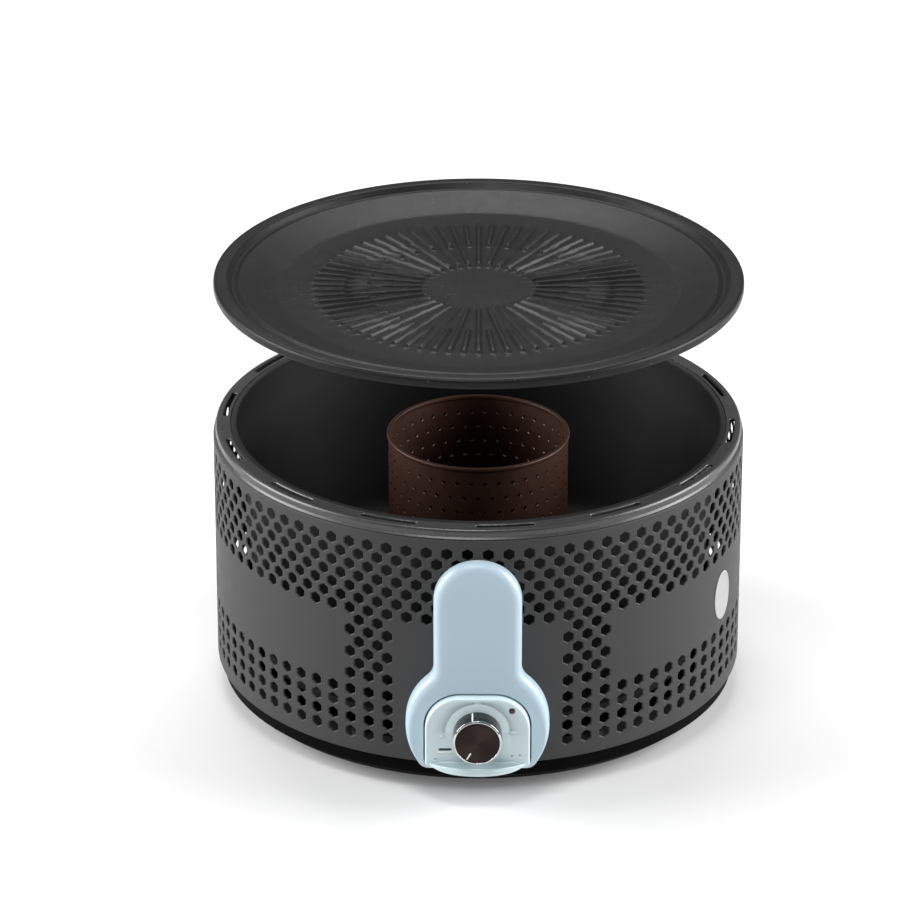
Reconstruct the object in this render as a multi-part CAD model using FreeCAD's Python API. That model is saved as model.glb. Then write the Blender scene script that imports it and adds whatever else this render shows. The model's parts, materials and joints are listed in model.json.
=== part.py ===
import FreeCAD, Part
import math
import os

# Portable tabletop grill: a fan-blown charcoal grill with a perforated drum, a lift-out bowl and
# charcoal basket, and a round grill plate held above them.
# Millimetres, +Z up, the front (control panel) faces -Y. The origin is the centre of the flat
# boss under the base pan, on the table. Angles are measured from the front towards +X.

# ---- drum --------------------------------------------------------------------------------------
DRUM_R = 175.0
SHELL_T = 1.2
SHELL_LOW = 22.0
SHELL_TOP = 181.5
SHOULDER_R = 2.0
TOP_FLANGE_R = 171.5
BOTTOM_FLANGE_R = 150.0
RING_TAB_INNER_R = 165.0
RING_TAB_W = 12.0
WIRE_DOOR_X = (-22.0, 22.0)
WIRE_DOOR_Z = (38.0, 74.0)
LEAD_NOTCH_X = (-42.0, 18.0)
LEAD_NOTCH_Y = (-170.0, -145.0)

# ---- hexagonal holes ---------------------------------------------------------------------------
HEX_FLATS = 7.0
COLUMNS = 84
TOP_ROW_Z = 171.0
TOP_PITCH = 7.775
TOP_ROWS = 7
MIDDLE_ROWS = 6
MIDDLE_GROUPS = (5.5, 20.5, 35.5)
LOWER_ROW_Z = 66.1
LOWER_PITCH = 10.17
LOWER_ROWS = 4
PANEL_COLUMNS = 4.0
HIDDEN_BEHIND = 23.0

# ---- top ring ----------------------------------------------------------------------------------
RING_TOP = 188.0
RING_R = 173.5
RING_BORE = 161.2
RING_T = 1.5
REBATE_R = 163.6
REBATE_Z = 186.5
RING_EDGE = 2.4
RING_BOSS_R = 2.9
RING_PILOT = 4.5
RING_SKIRT_Z = 179.5
SLOT_COUNT = 14
SLOT_FIRST = 5.9
SLOT_SPAN = 13.0
SLOT_R = 167.4
SLOT_W = 3.4
RING_SCREWS = 7
RING_SCREW_R = 168.6

# ---- base --------------------------------------------------------------------------------------
PAN_R = 171.0
PAN_FLOOR_LOW = 3.0
PAN_FLOOR_TOP = 5.5
PAN_WALL = 2.5
PAN_FLOOR_R = 158.0
PAN_SIDE_Z = 12.0
BOSS_R = 22.0
FOOT_COUNT = 4
FOOT_CIRCLE = 140.0
FOOT_R = 9.0
FOOT_STEM_R = 4.0
PILLAR_R = 4.5
BASE_SCREWS = 6
BASE_SCREW_CIRCLE = 155.0
POST_COUNT = 4
POST_CIRCLE = 118.0
SHIELD_Z = 38.0
SHIELD_R = 147.0
SHIELD_T = 1.2
SHIELD_RIM = 5.0

# ---- fan ---------------------------------------------------------------------------------------
HOUSING_R = 37.0
HOUSING_BORE = 35.0
HOUSING_LOW = 8.0
HOUSING_TOP = 36.0
LUG_CIRCLE = 43.0
LUG_R = 4.5
LUG_T = 2.0
SPOKES = 4
MOTOR_R = 13.8
MOTOR_LOW = 4.0
MOTOR_TOP = 22.0
MOTOR_CUP_R = 16.0
MOTOR_SCREW_X = (-9.0, 9.0)
MOTOR_NECK_R = 3.8
SHAFT_R = 1.5
RUNNING_GAP = 0.05
BLADES = 9
BLADE_TIP = 33.4
BLADE_PITCH = 38.0
HUB_R = 19.0
HUB_LOW = 13.0
HUB_TOP = 33.0
HUB_T = 1.5
DUCT_TOP = 45.0
DUCT_STEP_Z = 37.5
DUCT_R = 32.5
DUCT_T = 1.5

# ---- bowl, basket and plate --------------------------------------------------------------------
BOWL_T = 1.0
BOWL_FLANGE_R = 163.3
BOWL_FLANGE_Z = 186.8
BOWL_MOUTH = 159.3
BOWL_LOW_R = 146.0
BOWL_FLOOR = 47.0
BOWL_CORNER = 26.0
AIR_HOLE_R = 30.0
COLLAR_H = 6.0
CAP_R = 36.5
CAP_LEG_R = 2.0
CAP_Z = BOWL_FLOOR + 12.0
TRAY_R = (39.0, 57.0)
TRAY_H = 6.0
TRAY_T = 0.8
BASKET_R = 59.5
BASKET_T = 1.2
BASKET_LOW = 47.3
BASKET_TOP = 178.0
BASKET_HOLE_R = 1.5
BASKET_COLUMNS = 40
BASKET_ROWS = 10
VENT_R = 5.0
VENT_COUNT = 12
GRATE_Z = 66.0
GRATE_T = 1.5
GRATE_HOLE_R = 2.5
GRATE_CIRCLES = ((6, 11.0), (12, 22.0), (18, 33.0), (24, 44.0))
LEDGE_W = 4.0
PLATE_LIFT = 95.2
PLATE_SEAT = RING_TOP + 0.3
PLATE_R = 173.0
PLATE_EDGE = 7.0
PLATE_FLOOR_R = 131.0
PLATE_FLOOR = -3.0
PLATE_T = 4.0
PLATE_OUTER_EDGE = 2.6
PLATE_UNDER_EDGE = 1.5
PLATE_FLOOR_BEND = 10.0
RIB_PAIRS = 36
RIB_H = 2.0
RIB_W = 3.2
RIB_OUTER = 110.0
RIB_LONG_INNER = 35.0
RIB_SHORT_INNER = 70.0

# ---- front panel -------------------------------------------------------------------------------
COVER_Y = -185.0
COVER_WALL = 2.5
COVER_EDGE = 5.0
COVER_BACK = -160.0
COVER_BOSS_R = 3.6
COVER_SCREWS = ((0.0, 150.0), (0.0, 108.0), (-39.6, 52.0), (39.6, 52.0))
TONGUE_HALF = 28.0
TONGUE_TOP = 168.0
PANEL_Z = 52.5
PANEL_R = 46.0
PANEL_LOW = 23.0
PANEL_CORNER = 7.0
FLARE_R = 12.0
PLATE_Y = -189.5
CONTROL_HALF = 33.5
CONTROL_LOW = 26.9
CONTROL_TOP = 77.0
CONTROL_CORNER = 23.0
CONTROL_FOOT_R = 4.0
CONTROL_WALL = 2.5
CONTROL_EDGE = 1.6
CONTROL_SIDE = 2.0
CONTROL_DEPTH = 4.5
CONTROL_GAP = 0.8
LIP_HALF = 31.0
LIP_OUT = 10.5
LIP_LOW = 26.3
LIP_TOP = 31.2
LIP_EDGE = 1.6
KNOB_Z = 52.5
KNOB_R = 15.6
KNOB_BACK = PLATE_Y - 0.4
KNOB_FRONT = -203.5
KNOB_OFF_ANGLE = 210.0
KNOB_BORE_R = 7.6
KNOB_BORE_END = PLATE_Y - 4.4
BEZEL_W = 1.5
BEZEL_H = 1.2
POT_R = 8.5
BUSH_R = 3.5
POT_SHAFT_R = 3.0
POT_SHAFT_END = KNOB_FRONT + 4.0
BUSH_END = PLATE_Y - 3.6
POT_SHAFT_BACK = -184.0
NUT_R = 6.0
NUT_H = 2.2
LED_X = 21.9
LED_Z = 68.3
LED_R = 1.8
GROOVE_R = 21.0
GROOVE_W = 2.4
GROOVE_DEPTH = 0.8
GROOVE_GAP = 2.8
PINHOLES = ((-27.0, 33.9), (22.0, 36.3), (27.0, 36.7))
PINHOLE_R = 0.5
PORT_X = -20.5
PORT_Z = 40.6
BOARD_BACK = -179.4
BOARD_FRONT = -181.0
BOARD_X = (-26.0, 26.0)
BOARD_Z = (32.0, 66.0)
BOARD_SCREWS = ((-20.0, 62.0), (20.0, 62.0), (-22.0, 35.0), (22.0, 35.0))
BOARD_SCREW_END = PLATE_Y + CONTROL_WALL
PORT_HALF_W = 4.7
PORT_HALF_H = 1.4
BADGE_ANGLE = 66.0
BADGE_Z = 93.0
BADGE_W = 24.5
BADGE_H = 34.0

M3 = 1.5
M4 = 2.0
CLEARANCE = 0.2


# ---- small helpers -----------------------------------------------------------------------------
def vec(x, y, z):
    return FreeCAD.Vector(x, y, z)


UP = vec(0, 0, 1)
CENTRE = vec(0, 0, 0)


def cylinder(radius, low, high, x=0.0, y=0.0):
    return Part.makeCylinder(radius, high - low, vec(x, y, low))


def tube(outer, inner, low, high, x=0.0, y=0.0):
    return cylinder(outer, low, high, x, y).cut(cylinder(inner, low - 1, high + 1, x, y))


def rod(radius, back, front, x=0.0, z=0.0):
    """A cylinder along Y, from back to the more negative front."""
    return Part.makeCylinder(radius, back - front, vec(x, back, z), vec(0, -1, 0))


def block(x_span, y_span, z_span):
    size = [high - low for low, high in (x_span, y_span, z_span)]
    return Part.makeBox(*size, vec(x_span[0], y_span[0], z_span[0]))


def revolved(points):
    corners = [vec(r, 0, z) for r, z in points]
    return Part.Face(Part.makePolygon(corners + corners[:1])).revolve(CENTRE, UP, 360)


def turned(shape, angle):
    copy = shape.copy()
    copy.rotate(CENTRE, UP, angle)
    return copy


def evenly(count, first=0.0):
    return [first + 360.0 * i / count for i in range(count)]


def spread(shape, angles):
    return [turned(shape, angle) for angle in angles]


def rounded(shape, radius, circles):
    """Round the circular edges about Z at the given (radius, height) places."""
    picked = []
    for edge in shape.Edges:
        curve = edge.Curve
        if not isinstance(curve, Part.Circle) or abs(abs(curve.Axis.z) - 1) > 1e-6:
            continue
        for r, z in circles:
            if abs(curve.Radius - r) < 1e-3 and abs(curve.Center.z - z) < 1e-3:
                picked.append(edge)
    return shape.makeFillet(radius, picked)


def arc(a, middle, b):
    return Part.Arc(a, middle, b).toShape()


def line(a, b):
    return Part.LineSegment(a, b).toShape()


def screw(radius, head_low, length, x=0.0, y=0.0, upward=False):
    """A pan-head screw on a vertical axis: its head starts at head_low, its shank points down,
    or up if upward."""
    head_h = 1.2 * radius
    head = cylinder(2 * radius, head_low, head_low + head_h, x, y)
    recess = block((-radius, radius), (-0.3 * radius, 0.3 * radius), (0, 0.5 * head_h))
    if upward:
        shank = cylinder(radius, head_low + head_h, head_low + head_h + length, x, y)
        recess.translate(vec(x, y, head_low))
    else:
        shank = cylinder(radius, head_low - length, head_low, x, y)
        recess.translate(vec(x, y, head_low + 0.5 * head_h))
    return head.fuse(shank).cut(recess)


def save(shape, node):
    shape.exportStep(f"parts/{node}.step")
    box = shape.BoundBox
    print(f"{node:18s} solids {len(shape.Solids):3d} valid {shape.isValid()}"
          f" z {box.ZMin:7.1f} {box.ZMax:7.1f}  volume {shape.Volume / 1000:8.2f} cm3")


# ---- drum --------------------------------------------------------------------------------------
def hex_prism(column, z):
    """A pointed-top hexagonal cutter through the wall at a column position and height."""
    corner = HEX_FLATS / math.sqrt(3)
    points = []
    for i in range(7):
        turn = math.radians(30 + 60 * i)
        points.append(vec(corner * math.cos(turn), 0, corner * math.sin(turn)))
    prism = Part.Face(Part.makePolygon(points)).extrude(vec(0, 8, 0))
    prism.translate(vec(0, -DRUM_R - 2, z))
    prism.rotate(CENTRE, UP, column * 360.0 / COLUMNS)
    return prism


def behind_cover(column, z):
    x = DRUM_R * math.sin(math.radians(column * 360.0 / COLUMNS))
    under_round = math.hypot(x, z - (TONGUE_TOP - TONGUE_HALF)) < HIDDEN_BEHIND
    under_strip = abs(x) < HIDDEN_BEHIND and z < TONGUE_TOP - TONGUE_HALF
    return abs(column) < COLUMNS / 4 and (under_round or under_strip)


def hole_places():
    """Every hexagonal hole as (column, height). Even rows lie on half columns, odd rows on
    whole ones, so the upper field is a honeycomb."""
    half = COLUMNS // 2
    whole_columns = list(range(-half, half))
    half_columns = [c + 0.5 for c in whole_columns]
    places = []
    for row in range(TOP_ROWS + MIDDLE_ROWS):
        z = TOP_ROW_Z - row * TOP_PITCH
        columns = whole_columns if row % 2 else half_columns
        for column in columns:
            in_group = any(abs(abs(column) - centre) < 1.1 for centre in MIDDLE_GROUPS)
            if (row < TOP_ROWS or in_group) and not behind_cover(column, z):
                places.append((column, z))
    for row in range(LOWER_ROWS):
        z = LOWER_ROW_Z - row * LOWER_PITCH
        places += [(c, z) for c in half_columns if abs(c) > PANEL_COLUMNS]
    return places


def ring_screw_angles():
    between_slots = SLOT_FIRST + 180.0 / SLOT_COUNT
    return evenly(RING_SCREWS, between_slots)


def outer_shell():
    inner = DRUM_R - SHELL_T
    shell = revolved([
        (DRUM_R, SHELL_LOW), (DRUM_R, SHELL_TOP), (TOP_FLANGE_R, SHELL_TOP),
        (TOP_FLANGE_R, SHELL_TOP - SHELL_T), (inner, SHELL_TOP - SHELL_T),
        (inner, SHELL_LOW + SHELL_T), (BOTTOM_FLANGE_R, SHELL_LOW + SHELL_T),
        (BOTTOM_FLANGE_R, SHELL_LOW)])
    shell = rounded(shell, SHOULDER_R, [(DRUM_R, SHELL_TOP)])
    shell = rounded(shell, SHOULDER_R - SHELL_T, [(inner, SHELL_TOP - SHELL_T)])
    tab = block((-RING_TAB_W / 2, RING_TAB_W / 2), (-TOP_FLANGE_R - 0.5, -RING_TAB_INNER_R),
                (SHELL_TOP - SHELL_T, SHELL_TOP))
    shell = shell.fuse(spread(tab, ring_screw_angles())).removeSplitter()
    cutters = [hex_prism(column, z) for column, z in hole_places()]
    ring_hole = cylinder(M3 + CLEARANCE, SHELL_TOP - 3, SHELL_TOP + 1, 0, -RING_SCREW_R)
    cutters += spread(ring_hole, ring_screw_angles())
    base_hole = cylinder(M4 + CLEARANCE, SHELL_LOW - 1, SHELL_LOW + 3, 0, -BASE_SCREW_CIRCLE)
    cutters += spread(base_hole, evenly(BASE_SCREWS, 30.0))
    cutters += [rod(M3 + CLEARANCE, COVER_BACK, -180, x, z) for x, z in COVER_SCREWS]
    cutters.append(block(WIRE_DOOR_X, (-DRUM_R - 5, -DRUM_R + 10), WIRE_DOOR_Z))
    cutters.append(block(LEAD_NOTCH_X, LEAD_NOTCH_Y, (SHELL_LOW - 1, SHELL_LOW + 3)))
    return shell.cut(cutters)


def slot_cutter():
    end_turn = math.degrees(SLOT_W / 2 / SLOT_R)
    sweep = SLOT_SPAN - 2 * end_turn
    low = RING_TOP - 5
    sector = Part.makeCylinder(SLOT_R + SLOT_W / 2, 10, vec(0, 0, low), UP, sweep)
    sector = sector.cut(cylinder(SLOT_R - SLOT_W / 2, low - 1, low + 11))
    end = cylinder(SLOT_W / 2, low, low + 10, SLOT_R, 0)
    slot = sector.fuse([end, turned(end, sweep)])
    return turned(slot, -90 - sweep / 2)


def top_ring():
    ring = revolved([
        (RING_R, SHELL_TOP), (RING_R, RING_TOP), (REBATE_R, RING_TOP), (REBATE_R, REBATE_Z),
        (RING_BORE, REBATE_Z), (RING_BORE, RING_SKIRT_Z), (RING_BORE + RING_T, RING_SKIRT_Z),
        (RING_BORE + RING_T, REBATE_Z - RING_T), (REBATE_R + RING_T, REBATE_Z - RING_T),
        (REBATE_R + RING_T, RING_TOP - RING_T), (RING_R - RING_T, RING_TOP - RING_T),
        (RING_R - RING_T, SHELL_TOP)])
    ring = rounded(ring, RING_EDGE, [(RING_R, RING_TOP)])
    boss = cylinder(RING_BOSS_R, SHELL_TOP, RING_TOP - RING_T + 0.2, 0, -RING_SCREW_R)
    ring = ring.fuse(spread(boss, ring_screw_angles())).removeSplitter()
    pilot = cylinder(M3, SHELL_TOP - 1, SHELL_TOP + RING_PILOT, 0, -RING_SCREW_R)
    slots = spread(slot_cutter(), evenly(SLOT_COUNT, SLOT_FIRST))
    return ring.cut(slots + spread(pilot, ring_screw_angles()))


def ring_screws():
    head_low = SHELL_TOP - SHELL_T - 1.2 * M3
    one = screw(M3, head_low, 5.5, 0, -RING_SCREW_R, upward=True)
    return Part.makeCompound(spread(one, ring_screw_angles()))


def blank_badge():
    """A plain, slightly raised oval plate on the side of the drum."""
    plate = tube(DRUM_R + 0.6, DRUM_R + 0.05, BADGE_Z - BADGE_H, BADGE_Z + BADGE_H)
    oval = Part.Ellipse(CENTRE, BADGE_H / 2, BADGE_W / 2)
    face = Part.Face(Part.Wire(oval.toShape()))
    face.rotate(CENTRE, UP, 90)
    face.rotate(CENTRE, vec(1, 0, 0), 90)
    cutter = face.extrude(vec(0, -20, 0))
    cutter.translate(vec(0, -DRUM_R + 8, BADGE_Z))
    return plate.common(turned(cutter, BADGE_ANGLE))


# ---- base --------------------------------------------------------------------------------------
def foot_angles():
    return evenly(FOOT_COUNT, 45.0)


def post_angles():
    return evenly(POST_COUNT, 40.0)


def spoke_angles():
    return evenly(SPOKES, 45.0)


def base_pan():
    floor_r = PAN_FLOOR_R
    inner = PAN_R - PAN_WALL
    pan = revolved([
        (0, 0), (BOSS_R, 0), (BOSS_R + 2, PAN_FLOOR_LOW), (floor_r, PAN_FLOOR_LOW),
        (floor_r + 5, PAN_FLOOR_TOP), (PAN_R, PAN_SIDE_Z), (PAN_R, SHELL_LOW),
        (inner, SHELL_LOW), (inner, PAN_SIDE_Z + 1),
        (floor_r + 3, 8.5), (floor_r - 1.5, PAN_FLOOR_TOP), (BOSS_R - 0.5, PAN_FLOOR_TOP),
        (BOSS_R - 2.2, 2.5), (0, 2.5)])
    base_boss = cylinder(PILLAR_R, PAN_FLOOR_TOP - 1, SHELL_LOW, 0, -BASE_SCREW_CIRCLE)
    post = cylinder(PILLAR_R, PAN_FLOOR_TOP - 1, SHIELD_Z, 0, -POST_CIRCLE)
    lug_boss = cylinder(PILLAR_R - 0.5, PAN_FLOOR_TOP - 1, HOUSING_LOW, 0, -LUG_CIRCLE)
    pan = pan.fuse(spread(base_boss, evenly(BASE_SCREWS, 30.0)) + spread(post, post_angles())
                   + spread(lug_boss, spoke_angles())).removeSplitter()
    cutters = spread(cylinder(FOOT_STEM_R, 2, 7, 0, -FOOT_CIRCLE), foot_angles())
    cutters += spread(cylinder(M4, 8, 23, 0, -BASE_SCREW_CIRCLE), evenly(BASE_SCREWS, 30.0))
    cutters += spread(cylinder(M3, SHIELD_Z - 10, SHIELD_Z + 1, 0, -POST_CIRCLE), post_angles())
    cutters += spread(cylinder(M3, 5.0, 9, 0, -LUG_CIRCLE), spoke_angles())
    return pan.cut(cutters)


def rubber_feet():
    foot = revolved([
        (0, 0), (FOOT_R - 1, 0), (FOOT_R, PAN_FLOOR_LOW), (FOOT_STEM_R, PAN_FLOOR_LOW),
        (FOOT_STEM_R, PAN_FLOOR_TOP), (FOOT_STEM_R + 1.5, PAN_FLOOR_TOP),
        (FOOT_STEM_R, PAN_FLOOR_TOP + 2), (0, PAN_FLOOR_TOP + 2)])
    foot.translate(vec(0, -FOOT_CIRCLE, 0))
    return Part.makeCompound(spread(foot, foot_angles()))


def base_screws():
    one = screw(M4, SHELL_LOW + SHELL_T, 12, 0, -BASE_SCREW_CIRCLE)
    return Part.makeCompound(spread(one, evenly(BASE_SCREWS, 30.0)))


def heat_shield():
    top = SHIELD_Z + SHIELD_T
    rim_low = SHIELD_Z - SHIELD_RIM
    shield = revolved([
        (HOUSING_R + 1, SHIELD_Z), (HOUSING_R + 1, top), (SHIELD_R, top), (SHIELD_R, rim_low),
        (SHIELD_R - SHIELD_T, rim_low), (SHIELD_R - SHIELD_T, SHIELD_Z)])
    hole = cylinder(M3 + CLEARANCE, SHIELD_Z - 1, top + 1, 0, -POST_CIRCLE)
    return shield.cut(spread(hole, post_angles()))


def shield_screws():
    one = screw(M3, SHIELD_Z + SHIELD_T, 10, 0, -POST_CIRCLE)
    return Part.makeCompound(spread(one, post_angles()))


# ---- fan ---------------------------------------------------------------------------------------
def fan_housing():
    """A round duct whose floor is an open spider: four spokes carry the motor's cup."""
    wall = tube(HOUSING_R, HOUSING_BORE, HOUSING_LOW, HOUSING_TOP)
    cup = tube(MOTOR_CUP_R, MOTOR_R + CLEARANCE, HOUSING_LOW, MOTOR_TOP)
    cap = tube(MOTOR_CUP_R, MOTOR_NECK_R + 0.4, MOTOR_TOP, MOTOR_TOP + LUG_T)
    z_span = (HOUSING_LOW, HOUSING_LOW + LUG_T)
    spoke = block((-3, 3), (-HOUSING_BORE - 0.5, -MOTOR_CUP_R + 1), z_span)
    lug = cylinder(LUG_R, *z_span, 0, -LUG_CIRCLE)
    lug = lug.fuse(block((-LUG_R, LUG_R), (-LUG_CIRCLE, -HOUSING_R + 0.6), z_span))
    housing = wall.fuse([cup, cap] + spread(spoke, spoke_angles()) + spread(lug, spoke_angles()))
    housing = housing.removeSplitter()
    lug_hole = cylinder(M3 + CLEARANCE, HOUSING_LOW - 1, HOUSING_LOW + 3, 0, -LUG_CIRCLE)
    cutters = spread(lug_hole, spoke_angles())
    cutters += [cylinder(M3, MOTOR_TOP - 1, MOTOR_TOP + 3, x, 0) for x in MOTOR_SCREW_X]
    return housing.cut(cutters)


def housing_screws():
    one = screw(M3, HOUSING_LOW + LUG_T, 4.5, 0, -LUG_CIRCLE)
    return Part.makeCompound(spread(one, spoke_angles()))


def fan_motor():
    body = cylinder(MOTOR_R, MOTOR_LOW, MOTOR_TOP)
    body = rounded(body, 1.5, [(MOTOR_R, MOTOR_LOW)])
    body = body.fuse(cylinder(MOTOR_NECK_R, MOTOR_TOP, MOTOR_TOP + 3)).removeSplitter()
    cutters = [cylinder(SHAFT_R + RUNNING_GAP, 9, MOTOR_TOP + 4)]
    cutters += [cylinder(M3, MOTOR_TOP - 4, MOTOR_TOP + 1, x, 0) for x in MOTOR_SCREW_X]
    return body.cut(cutters)


def motor_screws():
    return Part.makeCompound([screw(M3, MOTOR_TOP + LUG_T, 5.5, x, 0) for x in MOTOR_SCREW_X])


def fan_shaft():
    return cylinder(SHAFT_R, 9.3, 35)


def fan_impeller():
    inner = HUB_R - HUB_T
    hub = revolved([
        (SHAFT_R, 27.0), (4.5, 27.0), (4.5, HUB_TOP - HUB_T), (inner, HUB_TOP - HUB_T),
        (inner, HUB_LOW), (HUB_R, HUB_LOW), (HUB_R, HUB_TOP), (SHAFT_R, HUB_TOP)])
    hub = rounded(hub, HUB_T, [(HUB_R, HUB_TOP)])
    blade = block((-0.8, 0.8), (-BLADE_TIP, -HUB_R + 0.8), (-11, 11))
    blade.rotate(CENTRE, vec(0, 1, 0), 90 - BLADE_PITCH)
    blade.translate(vec(0, 0, (HUB_LOW + HUB_TOP) / 2))
    blades = spread(blade, evenly(BLADES))
    return hub.fuse(blades).removeSplitter().common(cylinder(BLADE_TIP, 12, 34))


def air_duct():
    return revolved([
        (HOUSING_BORE, HOUSING_TOP), (HOUSING_R + 0.6, HOUSING_TOP),
        (HOUSING_R + 0.6, DUCT_STEP_Z), (HOUSING_BORE, DUCT_STEP_Z), (DUCT_R + DUCT_T, DUCT_TOP),
        (DUCT_R, DUCT_TOP), (DUCT_R, DUCT_STEP_Z), (DUCT_R, HOUSING_TOP)])


# ---- bowl and what stands in it ----------------------------------------------------------------
def bowl_body(thickness):
    """The bowl's filled shape, grown by thickness from its inner surface."""
    low = BOWL_FLOOR - thickness
    low_r = BOWL_LOW_R + thickness
    body = revolved([(0, low), (low_r, low), (BOWL_MOUTH + thickness, BOWL_FLANGE_Z),
                     (BOWL_MOUTH + thickness, 189), (0, 189)])
    return rounded(body, BOWL_CORNER + thickness, [(low_r, low)])


def inner_bowl():
    outer = bowl_body(BOWL_T).common(cylinder(200, 0, RING_TOP))
    flange = cylinder(BOWL_FLANGE_R, BOWL_FLANGE_Z, RING_TOP)
    collar = cylinder(AIR_HOLE_R + BOWL_T, BOWL_FLOOR - BOWL_T, BOWL_FLOOR + COLLAR_H)
    bowl = outer.fuse(flange).cut(bowl_body(0)).fuse(collar).removeSplitter()
    return bowl.cut(cylinder(AIR_HOLE_R, 0, 100))


def air_cap():
    """A low domed cap on three legs over the air hole, so that ash can't fall on the fan."""
    low = CAP_Z - 3
    brim = CAP_R - 2.5
    cap = revolved([(0, CAP_Z), (brim, low), (CAP_R, low), (CAP_R, low + 1), (brim, low + 1),
                    (0, CAP_Z + 1)])
    leg = cylinder(CAP_LEG_R, BOWL_FLOOR, low + 0.8, 0, -brim)
    return cap.fuse(spread(leg, evenly(3))).removeSplitter()


def ignition_tray():
    inner, outer = TRAY_R
    low, top = BOWL_FLOOR, BOWL_FLOOR + TRAY_H
    return revolved([(inner, low), (outer, low), (outer, top), (outer - TRAY_T, top),
                     (outer - TRAY_T, low + TRAY_T), (inner + TRAY_T, low + TRAY_T),
                     (inner + TRAY_T, top), (inner, top)])


def charcoal_basket():
    """Punched tube with a rolled rim; it is welded to the foot under it."""
    inner = BASKET_R - BASKET_T
    wall = revolved([
        (BASKET_R, GRATE_Z - BASKET_T), (BASKET_R, BASKET_TOP - 3),
        (BASKET_R + 1, BASKET_TOP - 2), (BASKET_R + 1, BASKET_TOP), (inner - 0.6, BASKET_TOP),
        (inner - 0.6, BASKET_TOP - 1.2), (inner, BASKET_TOP - 2), (inner, GRATE_Z - BASKET_T)])
    low_row = GRATE_Z + 8
    pitch = (BASKET_TOP - 12 - low_row) / (BASKET_ROWS - 1)
    holes = []
    for row in range(BASKET_ROWS):
        half = 0.5 * (row % 2)
        hole = rod(BASKET_HOLE_R, -inner + 3, -BASKET_R - 3, 0, low_row + row * pitch)
        holes += spread(hole, evenly(BASKET_COLUMNS, half * 360.0 / BASKET_COLUMNS))
    return wall.cut(holes)


def basket_foot():
    """Vented skirt the wall stands on; its ledge carries the grate."""
    inner = BASKET_R - BASKET_T
    skirt = revolved([
        (BASKET_R, BASKET_LOW), (BASKET_R, GRATE_Z - BASKET_T), (inner, GRATE_Z - BASKET_T),
        (inner, GRATE_Z), (inner - LEDGE_W, GRATE_Z), (inner - LEDGE_W, GRATE_Z - BASKET_T),
        (inner - 1, GRATE_Z - BASKET_T), (inner, GRATE_Z - BASKET_T - 1), (inner, BASKET_LOW)])
    vent = rod(VENT_R, -inner + 3, -BASKET_R - 3, 0, GRATE_Z - 8)
    return skirt.cut(spread(vent, evenly(VENT_COUNT, 180.0 / VENT_COUNT)))


def basket_grate():
    plate = cylinder(BASKET_R - BASKET_T - 0.3, GRATE_Z, GRATE_Z + GRATE_T)
    holes = [cylinder(GRATE_HOLE_R, GRATE_Z - 1, GRATE_Z + 3)]
    for count, r in GRATE_CIRCLES:
        holes += spread(cylinder(GRATE_HOLE_R, GRATE_Z - 1, GRATE_Z + 3, 0, -r), evenly(count))
    return plate.cut(holes)


# ---- grill plate -------------------------------------------------------------------------------
def rib(inner, outer):
    """A radial rib with a rounded crown and ends that run down to the floor."""
    crown = PLATE_FLOOR + RIB_H
    half = RIB_W / 2
    section = [vec(-half, 0, PLATE_FLOOR - 0.5), vec(half, 0, PLATE_FLOOR - 0.5),
               vec(0.6 * half, 0, crown), vec(-0.6 * half, 0, crown)]
    bar = Part.Face(Part.makePolygon(section + section[:1])).extrude(vec(0, -(outer - inner), 0))
    bar.translate(vec(0, -inner, 0))
    return bar


def grill_plate():
    """Cast plate: flat lip, a step, a soft slope and a flat floor with a sunburst of ribs.
    Heights are from the underside of the lip until the plate is placed."""
    under = PLATE_FLOOR - PLATE_T
    plate = revolved([
        (0, PLATE_FLOOR), (PLATE_FLOOR_R, PLATE_FLOOR), (143, 0.4), (158, 4.6), (162, 5.0),
        (163.5, PLATE_EDGE), (PLATE_R, PLATE_EDGE), (PLATE_R, 0), (158, 0), (157.2, -5),
        (155.2, -5), (154.5, 0), (145, -2.6), (PLATE_FLOOR_R + 1, under), (0, under)])
    plate = rounded(plate, PLATE_OUTER_EDGE, [(PLATE_R, PLATE_EDGE)])
    plate = rounded(plate, PLATE_UNDER_EDGE, [(PLATE_R, 0)])
    plate = rounded(plate, PLATE_FLOOR_BEND, [(PLATE_FLOOR_R, PLATE_FLOOR)])
    long_ribs = spread(rib(RIB_LONG_INNER, RIB_OUTER), evenly(RIB_PAIRS))
    short_ribs = spread(rib(RIB_SHORT_INNER, RIB_OUTER), evenly(RIB_PAIRS, 180.0 / RIB_PAIRS))
    plate = plate.fuse(long_ribs + short_ribs).removeSplitter()
    plate.translate(vec(0, 0, PLATE_SEAT + PLATE_LIFT))
    return plate


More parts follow.
